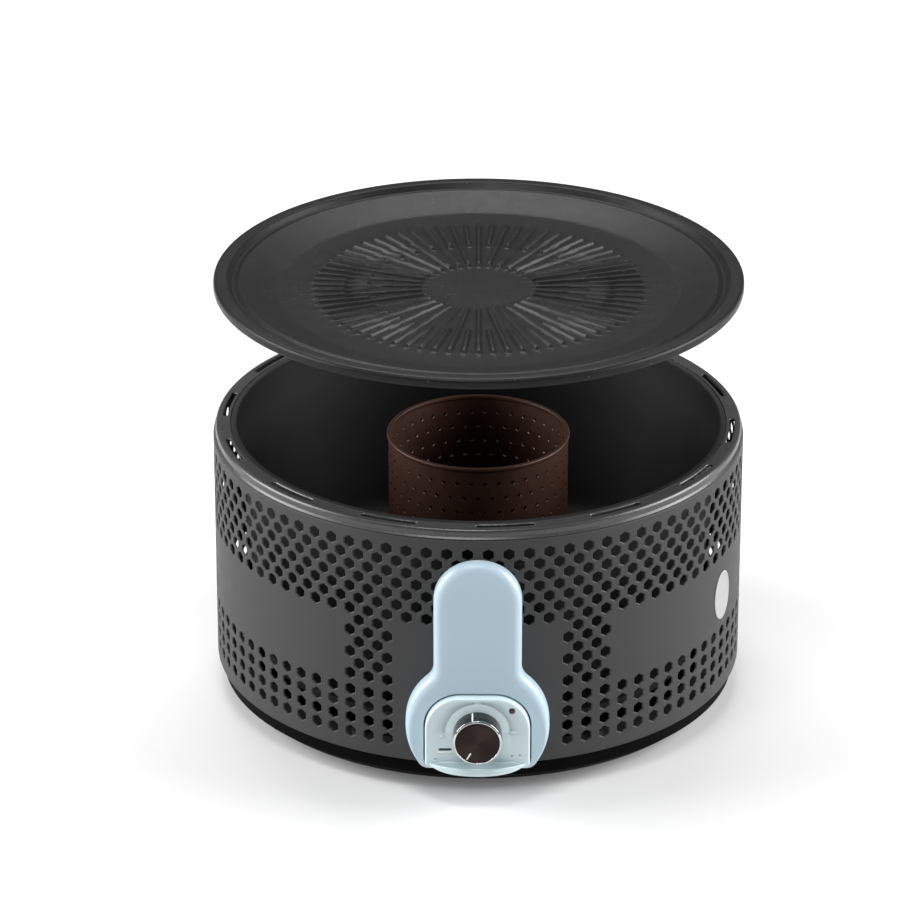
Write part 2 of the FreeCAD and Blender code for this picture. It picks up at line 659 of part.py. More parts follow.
# ---- front panel -------------------------------------------------------------------------------
def cover_face(inset, y):
    """The cover's outline at depth y: a round-topped tongue that flares into a disc with a
    straight foot. inset moves the whole outline inwards."""
    half = TONGUE_HALF - inset
    disc = PANEL_R - inset
    flare = FLARE_R + inset
    low = PANEL_LOW + inset
    corner = PANEL_CORNER - inset
    top = TONGUE_TOP - TONGUE_HALF
    flare_x = half + flare
    flare_z = PANEL_Z + math.sqrt((disc + flare) ** 2 - flare_x ** 2)
    join = disc / (disc + flare)
    join_x = join * flare_x
    join_z = PANEL_Z + join * (flare_z - PANEL_Z)
    mid_turn = math.atan2(join_z - flare_z, join_x - flare_x)
    mid_turn = (mid_turn % (2 * math.pi) + math.pi) / 2
    corner_z = low + corner
    corner_x = math.sqrt((disc - corner) ** 2 - (corner_z - PANEL_Z) ** 2)
    grow = disc / (disc - corner)
    foot_x = grow * corner_x
    foot_z = PANEL_Z + grow * (corner_z - PANEL_Z)
    corner_turn = (math.atan2(foot_z - corner_z, foot_x - corner_x) - math.pi / 2) / 2

    def side(sign):
        p = [vec(sign * x, y, z) for x, z in (
            (half, top), (half, flare_z),
            (flare_x + flare * math.cos(mid_turn), flare_z + flare * math.sin(mid_turn)),
            (join_x, join_z), (disc, PANEL_Z), (foot_x, foot_z),
            (corner_x + corner * math.cos(corner_turn), corner_z + corner * math.sin(corner_turn)),
            (corner_x, low))]
        return [line(p[0], p[1]), arc(p[1], p[2], p[3]), arc(p[3], p[4], p[5]),
                arc(p[5], p[6], p[7])]

    crown = arc(vec(-half, y, top), vec(0, y, top + half), vec(half, y, top))
    foot = line(vec(-corner_x, y, low), vec(corner_x, y, low))
    return Part.Face(Part.Wire(Part.__sortEdges__([crown, foot] + side(1) + side(-1))))


def control_face(inset, y):
    """The control plate's outline: straight sides, large round top corners."""
    half = CONTROL_HALF - inset
    top = CONTROL_TOP - inset
    low = CONTROL_LOW + inset
    big = CONTROL_CORNER - inset
    small = CONTROL_FOOT_R - inset
    diagonal = math.sqrt(0.5)

    def side(sign):
        p = [vec(sign * x, y, z) for x, z in (
            (half - big, top),
            (half - big + big * diagonal, top - big + big * diagonal), (half, top - big),
            (half, low + small),
            (half - small + small * diagonal, low + small - small * diagonal),
            (half - small, low))]
        return [arc(p[0], p[1], p[2]), line(p[2], p[3]), arc(p[3], p[4], p[5])]

    head = line(vec(-(half - big), y, top), vec(half - big, y, top))
    foot = line(vec(-(half - small), y, low), vec(half - small, y, low))
    return Part.Face(Part.Wire(Part.__sortEdges__([head, foot] + side(1) + side(-1))))


def soften_front(shape, radius, y):
    """Round every edge that lies in the plane at depth y."""
    edges = [e for e in shape.Edges if all(abs(v.Y - y) < 1e-4 for v in e.Vertexes)
             and abs(e.valueAt(e.FirstParameter).y - e.valueAt(e.LastParameter).y) < 1e-4]
    return shape.makeFillet(radius, edges)


def front_cover():
    outer = cover_face(0, COVER_Y).extrude(vec(0, COVER_BACK - COVER_Y, 0))
    outer = soften_front(outer, COVER_EDGE, COVER_Y)
    inner_y = COVER_Y + COVER_WALL
    hollow = cover_face(COVER_WALL, inner_y).extrude(vec(0, COVER_BACK - inner_y, 0))
    bosses = [rod(COVER_BOSS_R, COVER_BACK, inner_y - 0.5, x, z) for x, z in COVER_SCREWS]
    cover = outer.cut(hollow).fuse(bosses).removeSplitter()
    cutters = [cylinder(DRUM_R + 0.1, 0, 200)]
    cutters.append(control_face(-CONTROL_GAP, COVER_Y - 2).extrude(vec(0, 8, 0)))
    cutters += [rod(M3, COVER_BACK, inner_y, x, z) for x, z in COVER_SCREWS]
    return cover.cut(cutters)


def cover_screws():
    screws = []
    for x, z in COVER_SCREWS:
        head_y = -math.sqrt((DRUM_R - SHELL_T) ** 2 - x * x) + 0.9
        head = rod(2 * M3, head_y + 1.8, head_y, x, z)
        screws.append(head.fuse(rod(M3, head_y, COVER_Y + 4, x, z)))
    return Part.makeCompound(screws)


def dial_grooves():
    """Two quarter rings, cut shallowly into the control plate above the knob."""
    back = PLATE_Y + GROOVE_DEPTH
    ring = rod(GROOVE_R + GROOVE_W / 2, back, PLATE_Y - 1, 0, KNOB_Z)
    ring = ring.cut(rod(GROOVE_R - GROOVE_W / 2, back + 1, PLATE_Y - 2, 0, KNOB_Z))
    reach = GROOVE_R + GROOVE_W
    sides = [(-reach, -GROOVE_GAP), (GROOVE_GAP, reach)]
    z_span = (KNOB_Z + 1.5, KNOB_Z + reach)
    return [ring.common(block(x_span, (PLATE_Y - 2, back + 1), z_span)) for x_span in sides]


def control_plate():
    """A shallow cup with a curved shelf along its foot; a flange behind the cover holds it."""
    rear = COVER_Y + CONTROL_DEPTH
    outer = control_face(0, PLATE_Y).extrude(vec(0, rear - PLATE_Y, 0))
    outer = soften_front(outer, CONTROL_EDGE, PLATE_Y)
    inner_y = PLATE_Y + CONTROL_WALL
    hollow = control_face(CONTROL_SIDE, inner_y).extrude(vec(0, 20, 0))
    flange_y = COVER_Y + COVER_WALL + 0.2
    flange = control_face(-CONTROL_SIDE, flange_y).extrude(vec(0, rear - flange_y, 0))
    cover_foot = block((-PANEL_R, PANEL_R), (flange_y, rear), (0, PANEL_LOW + COVER_WALL))
    flange = flange.cut(cover_foot)
    chord = [vec(-LIP_HALF, PLATE_Y, LIP_LOW), vec(0, PLATE_Y - LIP_OUT, LIP_LOW),
             vec(LIP_HALF, PLATE_Y, LIP_LOW)]
    inside = [vec(LIP_HALF, PLATE_Y + 1.5, LIP_LOW), vec(-LIP_HALF, PLATE_Y + 1.5, LIP_LOW)]
    shelf = Part.Face(Part.Wire([arc(*chord), line(chord[2], inside[0]),
                                 line(inside[0], inside[1]), line(inside[1], chord[0])]))
    shelf = shelf.extrude(vec(0, 0, LIP_TOP - LIP_LOW))
    bow = [e for e in shelf.Edges if isinstance(e.Curve, Part.Circle)]
    shelf = shelf.makeFillet(LIP_EDGE, bow)
    bosses = [rod(2 * M3, BOARD_FRONT, inner_y - 0.5, x, z) for x, z in BOARD_SCREWS]
    plate = outer.fuse(flange).cut(hollow).fuse(bosses + [shelf]).removeSplitter()
    cutters = [rod(BUSH_R + 0.1, rear, PLATE_Y - 1, 0, KNOB_Z)]
    cutters.append(rod(LED_R + 0.1, rear, PLATE_Y - 1, LED_X, LED_Z))
    cutters += dial_grooves()
    cutters += [rod(PINHOLE_R, PLATE_Y + 1.2, PLATE_Y - 1, x, z) for x, z in PINHOLES]
    port_w = PORT_HALF_W + 0.1
    port_h = PORT_HALF_H + 0.1
    cutters.append(block((PORT_X - port_w, PORT_X + port_w), (PLATE_Y - 1, inner_y + 1),
                         (PORT_Z - port_h, PORT_Z + port_h)))
    cutters += [rod(M3 - 0.3, rear, BOARD_SCREW_END, x, z) for x, z in BOARD_SCREWS]
    return plate.cut(cutters)


def board_screws():
    screws = []
    for x, z in BOARD_SCREWS:
        head = rod(2.4, BOARD_BACK + 1.6, BOARD_BACK, x, z)
        screws.append(head.fuse(rod(M3 - 0.3, BOARD_BACK, BOARD_SCREW_END, x, z)))
    return Part.makeCompound(screws)


def control_board():
    board = block(BOARD_X, (BOARD_FRONT, BOARD_BACK), BOARD_Z)
    chip = block((4, 12), (BOARD_BACK, BOARD_BACK + 1.4), (54, 60))
    coil = rod(4.0, BOARD_BACK + 3.2, BOARD_BACK, -9, 60)
    holes = [rod(M3 - 0.1, BOARD_BACK + 1, BOARD_FRONT - 1, x, z) for x, z in BOARD_SCREWS]
    return board.fuse([chip, coil]).cut(holes)


def potentiometer():
    inner_y = PLATE_Y + CONTROL_WALL
    body = rod(POT_R, BOARD_FRONT, inner_y, 0, KNOB_Z)
    bush = rod(BUSH_R, inner_y, BUSH_END, 0, KNOB_Z)
    bore = rod(POT_SHAFT_R + RUNNING_GAP, POT_SHAFT_BACK + 0.5, BUSH_END - 1, 0, KNOB_Z)
    return body.fuse(bush).removeSplitter().cut(bore)


def pot_nut():
    points = []
    for i in range(7):
        turn = math.radians(60 * i)
        points.append(vec(NUT_R * math.cos(turn), PLATE_Y, KNOB_Z + NUT_R * math.sin(turn)))
    nut = Part.Face(Part.makePolygon(points)).extrude(vec(0, -NUT_H, 0))
    return nut.cut(rod(BUSH_R, PLATE_Y + 1, BUSH_END, 0, KNOB_Z))


def pot_shaft():
    return rod(POT_SHAFT_R, POT_SHAFT_BACK, POT_SHAFT_END, 0, KNOB_Z)


def speed_knob():
    knob = rod(KNOB_R, KNOB_BACK, KNOB_FRONT + BEZEL_H, 0, KNOB_Z)
    return knob.cut([rod(KNOB_BORE_R, KNOB_BACK + 1, KNOB_BORE_END, 0, KNOB_Z),
                     rod(POT_SHAFT_R, KNOB_BACK, POT_SHAFT_END, 0, KNOB_Z)])


def knob_ring():
    y = KNOB_FRONT + BEZEL_H
    outer = Part.makeCone(KNOB_R, KNOB_R - 0.9, BEZEL_H, vec(0, y, KNOB_Z), vec(0, -1, 0))
    return outer.cut(rod(KNOB_R - BEZEL_W, y + 1, KNOB_FRONT - 1, 0, KNOB_Z))


def knob_face():
    return rod(KNOB_R - BEZEL_W, KNOB_FRONT + BEZEL_H, KNOB_FRONT + 0.5, 0, KNOB_Z)


def knob_pointer():
    """Two white marks: a short bar on the face at the off position, and a line along the side."""
    bar = block((-0.5, 0.5), (KNOB_FRONT + 0.2, KNOB_FRONT + 0.5), (8.6, 13.4))
    bar.rotate(CENTRE, vec(0, 1, 0), KNOB_OFF_ANGLE)
    side = block((-0.45, 0.45), (KNOB_FRONT + 1.4, KNOB_BACK - 0.4), (KNOB_R, KNOB_R + 0.15))
    marks = Part.makeCompound([bar, side])
    marks.translate(vec(0, 0, KNOB_Z))
    return marks


def led_lens():
    stem = rod(LED_R, PLATE_Y + 4.5, PLATE_Y, LED_X, LED_Z)
    head = Part.makeCone(LED_R, LED_R - 0.7, 0.6, vec(LED_X, PLATE_Y, LED_Z), vec(0, -1, 0))
    return stem.fuse(head).removeSplitter()


def charging_port():
    x = (PORT_X - PORT_HALF_W, PORT_X + PORT_HALF_W)
    z = (PORT_Z - PORT_HALF_H, PORT_Z + PORT_HALF_H)
    front = PLATE_Y + 0.2
    back = BOARD_FRONT - 1.5
    can = block(x, (front, BOARD_FRONT), z)
    mouth = block((x[0] + 0.4, x[1] - 0.4), (front - 1, back), (z[0] + 0.4, z[1] - 0.4))
    tongue = block((x[0] + 1.4, x[1] - 1.4), (front + 0.8, back + 0.5),
                   (PORT_Z - 0.35, PORT_Z + 0.35))
    return can.cut(mouth).fuse(tongue)


# ---- battery and leads -------------------------------------------------------------------------
CELL_R = 9.1
CELL_L = 65.0
CELL_Z = 16.0
CELL_Y = (-128.0, -106.0)


def battery_holder():
    x = CELL_L / 2 + 2.5
    tray = block((-x, x), (CELL_Y[0] - 11.5, CELL_Y[1] + 11.5), (PAN_FLOOR_TOP, CELL_Z + 3))
    bays = []
    for y in CELL_Y:
        bays.append(block((-x + 2, x - 2), (y - CELL_R - 0.2, y + CELL_R + 0.2), (6.7, 30)))
    return tray.cut(bays)


def battery_cells():
    cells = []
    for y in CELL_Y:
        can = Part.makeCylinder(CELL_R, CELL_L - 1.5, vec(-CELL_L / 2, y, CELL_Z), vec(1, 0, 0))
        cap = Part.makeCylinder(3.0, 1.5, vec(CELL_L / 2 - 1.5, y, CELL_Z), vec(1, 0, 0))
        cells.append(can.fuse(cap))
    return Part.makeCompound(cells)


def lead(points, radius):
    """A round lead along straight runs joined by tangent arcs as large as the runs allow."""
    places = [vec(*p) for p in points]
    edges = []
    start = places[0]
    for before, corner, after in zip(places, places[1:], places[2:]):
        into = (corner - before).normalize()
        out = (after - corner).normalize()
        turn = into.getAngle(out)
        reach = 0.45 * min((corner - before).Length, (after - corner).Length)
        bend = reach / math.tan(turn / 2)
        entry = corner - into * reach
        leave = corner + out * reach
        pull = (out - into).normalize()
        middle = corner + pull * (bend / math.cos(turn / 2) - bend)
        edges += [line(start, entry), arc(entry, middle, leave)]
        start = leave
        print(f"  bend radius {bend:.1f}")
    edges.append(line(start, places[-1]))
    path = Part.Wire(edges)
    first = (places[1] - places[0]).normalize()
    section = Part.Wire(Part.Circle(places[0], first, radius).toShape())
    swept = path.makePipeShell([section], True, True)
    print(f"  volume ratio {swept.Volume / (path.Length * math.pi * radius ** 2):.4f}")
    return swept


def battery_leads():
    leads = []
    for x in (8.0, 13.0):
        leads.append(lead([(x, -139.5, 15), (x, -152, 15), (x, -162, 24), (x, -164, 42),
                           (x, -170, 48), (x, BOARD_BACK, 48)], 0.9))
    return Part.makeCompound(leads)


def motor_leads():
    leads = []
    for x in (-2.0, 2.0):
        leads.append(lead([(x, -13.9, 6.8), (x, -44, 6.8), (x - 48, -88, 7.2),
                           (x - 46, -136, 10), (x - 34, -158, 22), (x - 22, -166, 40),
                           (x - 15, -171, 48), (x - 15, BOARD_BACK, 48)], 0.8))
    return Part.makeCompound(leads)


NODES = (
    outer_shell, top_ring, ring_screws, blank_badge, base_pan, rubber_feet, base_screws,
    heat_shield, shield_screws, fan_housing, housing_screws, fan_motor, motor_screws, fan_shaft,
    fan_impeller, air_duct, inner_bowl, air_cap, ignition_tray, charcoal_basket, basket_foot,
    basket_grate, grill_plate, front_cover, cover_screws, control_plate, board_screws,
    control_board, potentiometer, pot_nut, pot_shaft, speed_knob, knob_ring, knob_face,
    knob_pointer, led_lens, charging_port, battery_holder, battery_cells, battery_leads,
    motor_leads)

os.makedirs("parts", exist_ok=True)
for build in NODES:
    save(build(), build.__name__)
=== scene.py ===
import json
import math

import bmesh
import bpy
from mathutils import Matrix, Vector
from mathutils.geometry import delaunay_2d_cdt


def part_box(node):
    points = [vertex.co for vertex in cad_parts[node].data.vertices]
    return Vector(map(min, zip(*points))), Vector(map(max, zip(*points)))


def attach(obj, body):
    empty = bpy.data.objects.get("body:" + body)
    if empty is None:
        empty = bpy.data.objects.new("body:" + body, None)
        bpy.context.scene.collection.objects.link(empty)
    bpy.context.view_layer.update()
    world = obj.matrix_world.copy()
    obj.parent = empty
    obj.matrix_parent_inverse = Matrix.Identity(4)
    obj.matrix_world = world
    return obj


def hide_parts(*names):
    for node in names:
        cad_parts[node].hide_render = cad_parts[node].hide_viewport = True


# The looks of a portable tabletop grill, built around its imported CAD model. Shapes are worked out
# in millimetres and stored in metres. The front faces -Y, and angles run from the front to +X.

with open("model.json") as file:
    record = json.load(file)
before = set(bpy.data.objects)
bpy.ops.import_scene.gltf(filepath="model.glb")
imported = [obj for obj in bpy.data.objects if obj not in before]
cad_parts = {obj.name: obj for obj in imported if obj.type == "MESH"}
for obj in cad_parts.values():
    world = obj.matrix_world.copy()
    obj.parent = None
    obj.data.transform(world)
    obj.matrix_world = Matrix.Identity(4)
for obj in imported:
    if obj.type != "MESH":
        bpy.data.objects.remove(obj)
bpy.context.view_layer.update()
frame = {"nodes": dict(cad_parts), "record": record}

MM = 0.001
ARC_STEP = math.radians(12)
CENTRE_ANGLE = 2 * math.pi


def box_mm(node):
    low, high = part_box(node)
    return low / MM, high / MM


shell_low, shell_high = box_mm("outer_shell")
foot_low, foot_high = box_mm("basket_foot")
badge_low, badge_high = box_mm("blank_badge")

# ---- sizes in millimetres, with counts and turns ----
DRUM_R = 175.0
SHELL_T = 1.2
SHELL_TOP = shell_high.z
SHELL_BOTTOM = shell_low.z
SHELL_RIM_R = 171.5
SHELL_HEM_R = 150.0
FIELD_TOP = 177.0
FIELD_LOW = 28.0
RIM_STEPS = 336

HEX_FLATS = 7.0
HEX_CHAMFER = 0.6
HEX_CHAMFER_DEPTH = 0.45
HEX_CLEARANCE = 7.2
FIELD_STEP = 6.5
COLUMNS = 84
TOP_ROW_Z = 171.0
TOP_PITCH = 7.775
TOP_ROWS = 7
MIDDLE_ROWS = 6
# The middle rows have holes only in narrow groups round these columns, left and right alike.
MIDDLE_GROUPS = (5.5, 20.5, 35.5)
GROUP_HALF_W = 1.1
LOWER_ROW_Z = 66.1
LOWER_PITCH = 10.17
LOWER_ROWS = 4
PANEL_COLUMNS = 4.0
# The cover hides the wall this far to each side of its middle, so no holes are made there.
HIDDEN_BEHIND = 23.0

RING_TOP = box_mm("top_ring")[1].z
RING_R = 173.5
RING_CROWN_R = 170.2
RING_BORE_R = 164.1
RING_SEAT_R = 163.6
RING_SKIRT_R = 161.2
RING_SKIRT_LOW = 179.5
RING_FOOT_R = 174.7
RING_FOOT_LOW = 181.2
RING_T = 1.5
SLOT_COUNT = 14
SLOT_FIRST = math.radians(5.9)
SLOT_SPAN = math.radians(13.0)
SLOT_R = 167.4
SLOT_W = 3.4
SLOT_CHAMFER = 0.45

BOWL_FLANGE_R = 163.3
BOWL_FLANGE_LOW = 186.8
BOWL_MOUTH_R = 159.3
BOWL_FLOOR_R = 146.0
BOWL_FLOOR_Z = 47.0
BOWL_T = 1.0
BOWL_BEND = 26.0
BOWL_STEPS = 288
AIR_HOLE_R = 30.0
AIR_HOLE_H = 6.0

BASKET_TOP = box_mm("charcoal_basket")[1].z
BASKET_LOW = foot_low.z
BASKET_R = 59.5
BASKET_T = 1.2
BASKET_COLUMNS = 40
BASKET_ROWS = 10
BASKET_HOLE_R = 1.5
ROWS_OVER_GRATE = 8.0
ROWS_UNDER_RIM = 12.0
BEAD_H = 4.0
FOOT_H = 3.0
VENT_COUNT = 12
VENT_R = 5.0
VENT_DROP = 8.0
GRATE_Z = foot_high.z
LEDGE_W = 4.0
LEDGE_STEPS = 144

PLATE_TOP = box_mm("grill_plate")[1].z
PLATE_R = 173.0
PLATE_T = 4.0
PLATE_EDGE = 7.0
LIP_BASE = PLATE_TOP - PLATE_EDGE
FLOOR_Z = LIP_BASE - 3.0
SLOPE_INNER = 131.0
SLOPE_OUTER = 143.0
VALLEY_R = 159.2
LOCATOR_R = 157.6
LOCATOR_DEPTH = 5.0
RIBS = 72
STEPS_PER_RIB = 12
RIB_HALF_W = 1.9
RIB_H = 2.0
RIB_OUTER = 110.0
RIB_LONG_INNER = 35.0
RIB_SHORT_INNER = 70.0
RIB_RAMP = 3.5
RIB_SHOULDER = 0.62
CENTRE_RINGS = (4, 10, 17, 24, 30)
RINGS_PER_SPAN = 5
HAIR = 0.01  # keeps two rings of points just apart where ribs start

COVER_Y = -185.0
TONGUE_HALF = 28.0
TONGUE_TOP = 168.0
PANEL_Z = 52.5
PANEL_R = 46.0
PANEL_LOW = 23.0
PANEL_CORNER = 7.0
FLARE_R = 12.0
COVER_SOFT = 6.0
COVER_SOFT_STEPS = 7
COVER_DEEP = 5.1
COVER_WALL = 2.5
COVER_CROWN = 1.1
END_ROLL = 3.2
END_ROLL_Z = 142.0
# Near its foot the cover's rounded edge is narrower, by this share of the full width.
FOOT_BORDER = 0.35
FOOT_BORDER_Z = 34.0
FOOT_BORDER_FADE = 40.0
LOOSE_SPACING = 5.0
LOOSE_MARGIN = 2.2

CONTROL_Y = -189.5
CONTROL_HALF = 33.5
CONTROL_LOW = 26.9
CONTROL_TOP = 77.0
CONTROL_CORNER = 23.0
CONTROL_FOOT_R = 4.0
CONTROL_GAP = 0.8
CONTROL_SOFT = 1.5
CONTROL_SOFT_STEPS = 6
CONTROL_INSET = 3.4
LIP_HALF = 31.0
LIP_OUT = 10.5
LIP_LOW = 26.3
LIP_TOP = 31.2
LIP_STEPS = 64
LIP_NOSE_R = 1.0
LIP_DISH = 2.6
LIP_DISH_START = 1.0
LIP_DISH_FADE = 4.0
# The dished top of the lip: shares of the way back, and of the dish's depth.
LIP_DISH_PROFILE = ((0.10, -0.1), (0.2, -0.9), (0.3, -1.0), (0.62, -1.0), (0.7, 0.0), (0.76, 0.36))
LIP_DISH_END = 0.4
LIP_CREASE = 0.25
KNOB_Z = 52.5
KNOB_R = 15.6
KNOB_BACK = CONTROL_Y - 0.4
KNOB_FRONT = -203.5
KNOB_BORE_R = 7.6
KNOB_SHAFT_R = 3.0
KNOB_STEPS = 128
POINTER_TURN = math.radians(210)
POINTER_R = 11.0
# Where the painted highlight line lies across the top of the knob's side.
SIDE_HIGHLIGHT_X = -3.2
BEZEL_W = 1.5
BEZEL_H = 1.2
LED_X, LED_Z = 21.9, 68.3
PORT_X, PORT_Z = -20.5, 40.6
PINHOLES = ((-27.0, 33.9), (22.0, 36.3), (27.0, 36.7))


# ---- mesh helpers ----
class Shape:
    """Points in millimetres and faces, gathered ring by ring."""

    def __init__(self):
        self.points = []
        self.faces = []

    def add(self, points):
        start = len(self.points)
        self.points.extend(Vector(p) for p in points)
        return list(range(start, len(self.points)))

    def bridge(self, ring, other):
        """Joins two rings with quads, or with triangles where one of them is a single point."""
        count = max(len(ring), len(other))
        for i in range(count):
            j = (i + 1) % count
            if len(ring) == 1:
                self.faces.append((ring[0], other[j], other[i]))
            elif len(other) == 1:
                self.faces.append((ring[i], ring[j], other[0]))
            else:
                self.faces.append((ring[i], ring[j], other[j], other[i]))

    def chain(self, rings, looped=False):
        for ring, other in zip(rings, rings[1:]):
            self.bridge(ring, other)
        if looped:
            self.bridge(rings[-1], rings[0])

    def cover(self, ids, triangles):
        """Adds triangles whose corners are places in a list of point ids."""
        self.faces += [tuple(ids[v] for v in t) for t in triangles]

    def capped(self, rings):
        """Joins rings in a row and closes both ends."""
        self.chain(rings)
        self.faces += [tuple(rings[-1]), tuple(reversed(rings[0]))]

    def move(self, place):
        self.points = [Vector(place(p)) for p in self.points]

    def build(self, name, body, slot, stands_for=(), sharp=32.0):
        mesh = bpy.data.meshes.new(name)
        mesh.from_pydata([p * MM for p in self.points], [], self.faces)
        work = bmesh.new()
        work.from_mesh(mesh)
        bmesh.ops.recalc_face_normals(work, faces=work.faces)
        work.to_mesh(mesh)
        work.free()
        mesh.shade_smooth()
        mesh.set_sharp_from_angle(angle=math.radians(sharp))
        piece = bpy.data.objects.new(name, mesh)
        bpy.context.scene.collection.objects.link(piece)
        mesh.materials.append(finishes[slot])
        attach(piece, body)
        if stands_for:
            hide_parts(*stands_for)
        return piece


def around(r, z, turn):
    """The point at radius r and height z, turned from the front towards +X."""
    return (r * math.sin(turn), -r * math.cos(turn), z)


def circle(shape, r, z, steps):
    if r < 1e-6:
        return shape.add([(0, 0, z)])
    return shape.add([around(r, z, CENTRE_ANGLE * i / steps) for i in range(steps)])


def lathe(shape, profile, steps, looped=True):
    shape.chain([circle(shape, r, z, steps) for r, z in profile], looped=looped)


def softened(corners, looped=True):
    """An outline from corners (x, y, radius), each rounded by an arc of that radius."""
    outline = []
    count = len(corners)
    for i, (x, y, radius) in enumerate(corners):
        if radius == 0 or (not looped and i in (0, count - 1)):
            outline.append((x, y))
            continue
        here = Vector((x, y))
        into = (here - Vector(corners[i - 1][:2])).normalized()
        away = (Vector(corners[(i + 1) % count][:2]) - here).normalized()
        turn = math.acos(max(-1.0, min(1.0, into.dot(away))))
        centre = here + (away - into).normalized() * (radius / math.cos(turn / 2))
        spoke = here - into * radius * math.tan(turn / 2) - centre
        side = 1 if into.x * away.y - into.y * away.x > 0 else -1
        steps = max(2, math.ceil(turn / ARC_STEP))
        for k in range(steps + 1):
            a = side * turn * k / steps
            outline.append((centre.x + spoke.x * math.cos(a) - spoke.y * math.sin(a),
                            centre.y + spoke.x * math.sin(a) + spoke.y * math.cos(a)))
    return outline


def contains(outline, x, y):
    inside = False
    for (ax, ay), (bx, by) in zip(outline, outline[-1:] + outline[:-1]):
        if (ay > y) != (by > y) and x < (bx - ax) * (y - ay) / (by - ay) + ax:
            inside = not inside
    return inside


def fill_region(outline, holes, loose=()):
    """Triangles over the region inside the outline and outside the holes. The points are
    numbered in the order given: the outline's, then each hole's, then the loose ones."""
    loops = [outline, *holes]
    points, edges, owner = [], [], []
    for number, loop in enumerate(loops):
        start = len(points)
        points += [Vector(p[:2]) for p in loop]
        edges += [(start + i, start + (i + 1) % len(loop)) for i in range(len(loop))]
        owner += [number] * len(loop)
    points += [Vector(p) for p in loose]
    owner += [None] * len(loose)
    placed, _, found, origin, _, _ = delaunay_2d_cdt(points, edges, [], 0, 1e-9, True)
    triangles = []
    for face in found:
        owners = {owner[origin[v][0]] for v in face}
        if len(owners) == 1 and None not in owners:
            number = owners.pop()
            middle = sum((placed[v] for v in face), Vector((0, 0))) / 3
            if contains([tuple(p) for p in loops[number]], *middle) == (number > 0):
                continue
        triangles.append([origin[v][0] for v in face])
    return triangles


# ---- drum shell ----
def behind_cover(column, z):
    x = DRUM_R * math.sin(CENTRE_ANGLE * column / COLUMNS)
    crown_z = TONGUE_TOP - TONGUE_HALF
    under_round = math.hypot(x, z - crown_z) < HIDDEN_BEHIND
    under_strip = abs(x) < HIDDEN_BEHIND and z < crown_z
    return abs(column) < COLUMNS / 4 and (under_round or under_strip)


def hole_places():
    """Every hexagonal hole as (column, height), on half columns in even rows."""
    half = COLUMNS // 2
    whole_columns = list(range(-half, half))
    half_columns = [c + 0.5 for c in whole_columns]
    places = []
    for row in range(TOP_ROWS + MIDDLE_ROWS):
        z = TOP_ROW_Z - row * TOP_PITCH
        for column in whole_columns if row % 2 else half_columns:
            in_group = any(abs(abs(column) - centre) < GROUP_HALF_W
                           for centre in MIDDLE_GROUPS)
            if (row < TOP_ROWS or in_group) and not behind_cover(column, z):
                places.append((column, z))
    for row in range(LOWER_ROWS):
        z = LOWER_ROW_Z - row * LOWER_PITCH
        places += [(c, z) for c in half_columns if abs(c) > PANEL_COLUMNS]
    return places


def ring_of(turn, z, radius, drum_r, sides, start):
    """A polygon on a round wall as (turn, height) points."""
    loop = []
    for i in range(sides):
        a = start + CENTRE_ANGLE * i / sides
        loop.append((turn + radius * math.cos(a) / drum_r, z + radius * math.sin(a)))
    return loop


def pierced_wall(shape, drum_r, thickness, top, low, fronts, backs, chamfer, loose=()):
    """A round wall with holes. fronts are the holes' outlines on the outer face and backs on the
    inner one, as (turn, height), and loose points keep the faces small. Returns the outer and
    inner edge circles, top then low."""
    def flat(point):
        scale = math.exp(point[1] / drum_r)
        return (scale * math.cos(point[0]), scale * math.sin(point[0]))

    edge = [CENTRE_ANGLE * i / RIM_STEPS for i in range(RIM_STEPS)]
    top_edge = [(a, top) for a in edge]
    low_edge = [(a, low) for a in edge]
    outer = top_edge + low_edge + [p for loop in fronts for p in loop] + list(loose)
    inner = top_edge + low_edge + [p for loop in backs for p in loop] + list(loose)
    loops = [[flat(p) for p in loop] for loop in [top_edge, low_edge, *fronts]]
    triangles = fill_region(loops[0], loops[1:], [flat(p) for p in loose])
    out_ids = shape.add([around(drum_r, z, turn) for turn, z in outer])
    in_ids = shape.add([around(drum_r - thickness, z, turn) for turn, z in inner])
    shape.cover(out_ids, triangles)
    shape.cover(in_ids, triangles)
    start = 2 * RIM_STEPS
    for front, back in zip(fronts, backs):
        span = slice(start, start + len(front))
        neck = shape.add([around(drum_r - chamfer, z, turn) for turn, z in back])
        shape.chain([out_ids[span], neck, in_ids[span]])
        start += len(front)
    count = RIM_STEPS
    return (out_ids[:count], in_ids[:count], out_ids[count:2 * count], in_ids[count:2 * count])


def spaced_points(places, drum_r, top, low, reach, step_z, columns):
    """Points spread over a wall, none of them near a hole, so that its faces stay small."""
    taken = {}
    for turn, z in places:
        taken.setdefault((round(turn * drum_r / reach), round(z / reach)), []).append((turn, z))
    points = []
    rows = int((top - low) / step_z)
    for row in range(1, rows):
        z = low + (top - low) * row / rows
        for column in range(columns):
            turn = CENTRE_ANGLE * (column + 0.5 * (row % 2)) / columns - math.pi
            cell = (round(turn * drum_r / reach), round(z / reach))
            near = [p for i in (-1, 0, 1) for j in (-1, 0, 1)
                    for p in taken.get((cell[0] + i, cell[1] + j), ())]
            if all(math.hypot((turn - t) * drum_r, z - h) > reach for t, h in near):
                points.append((turn, z))
    return points


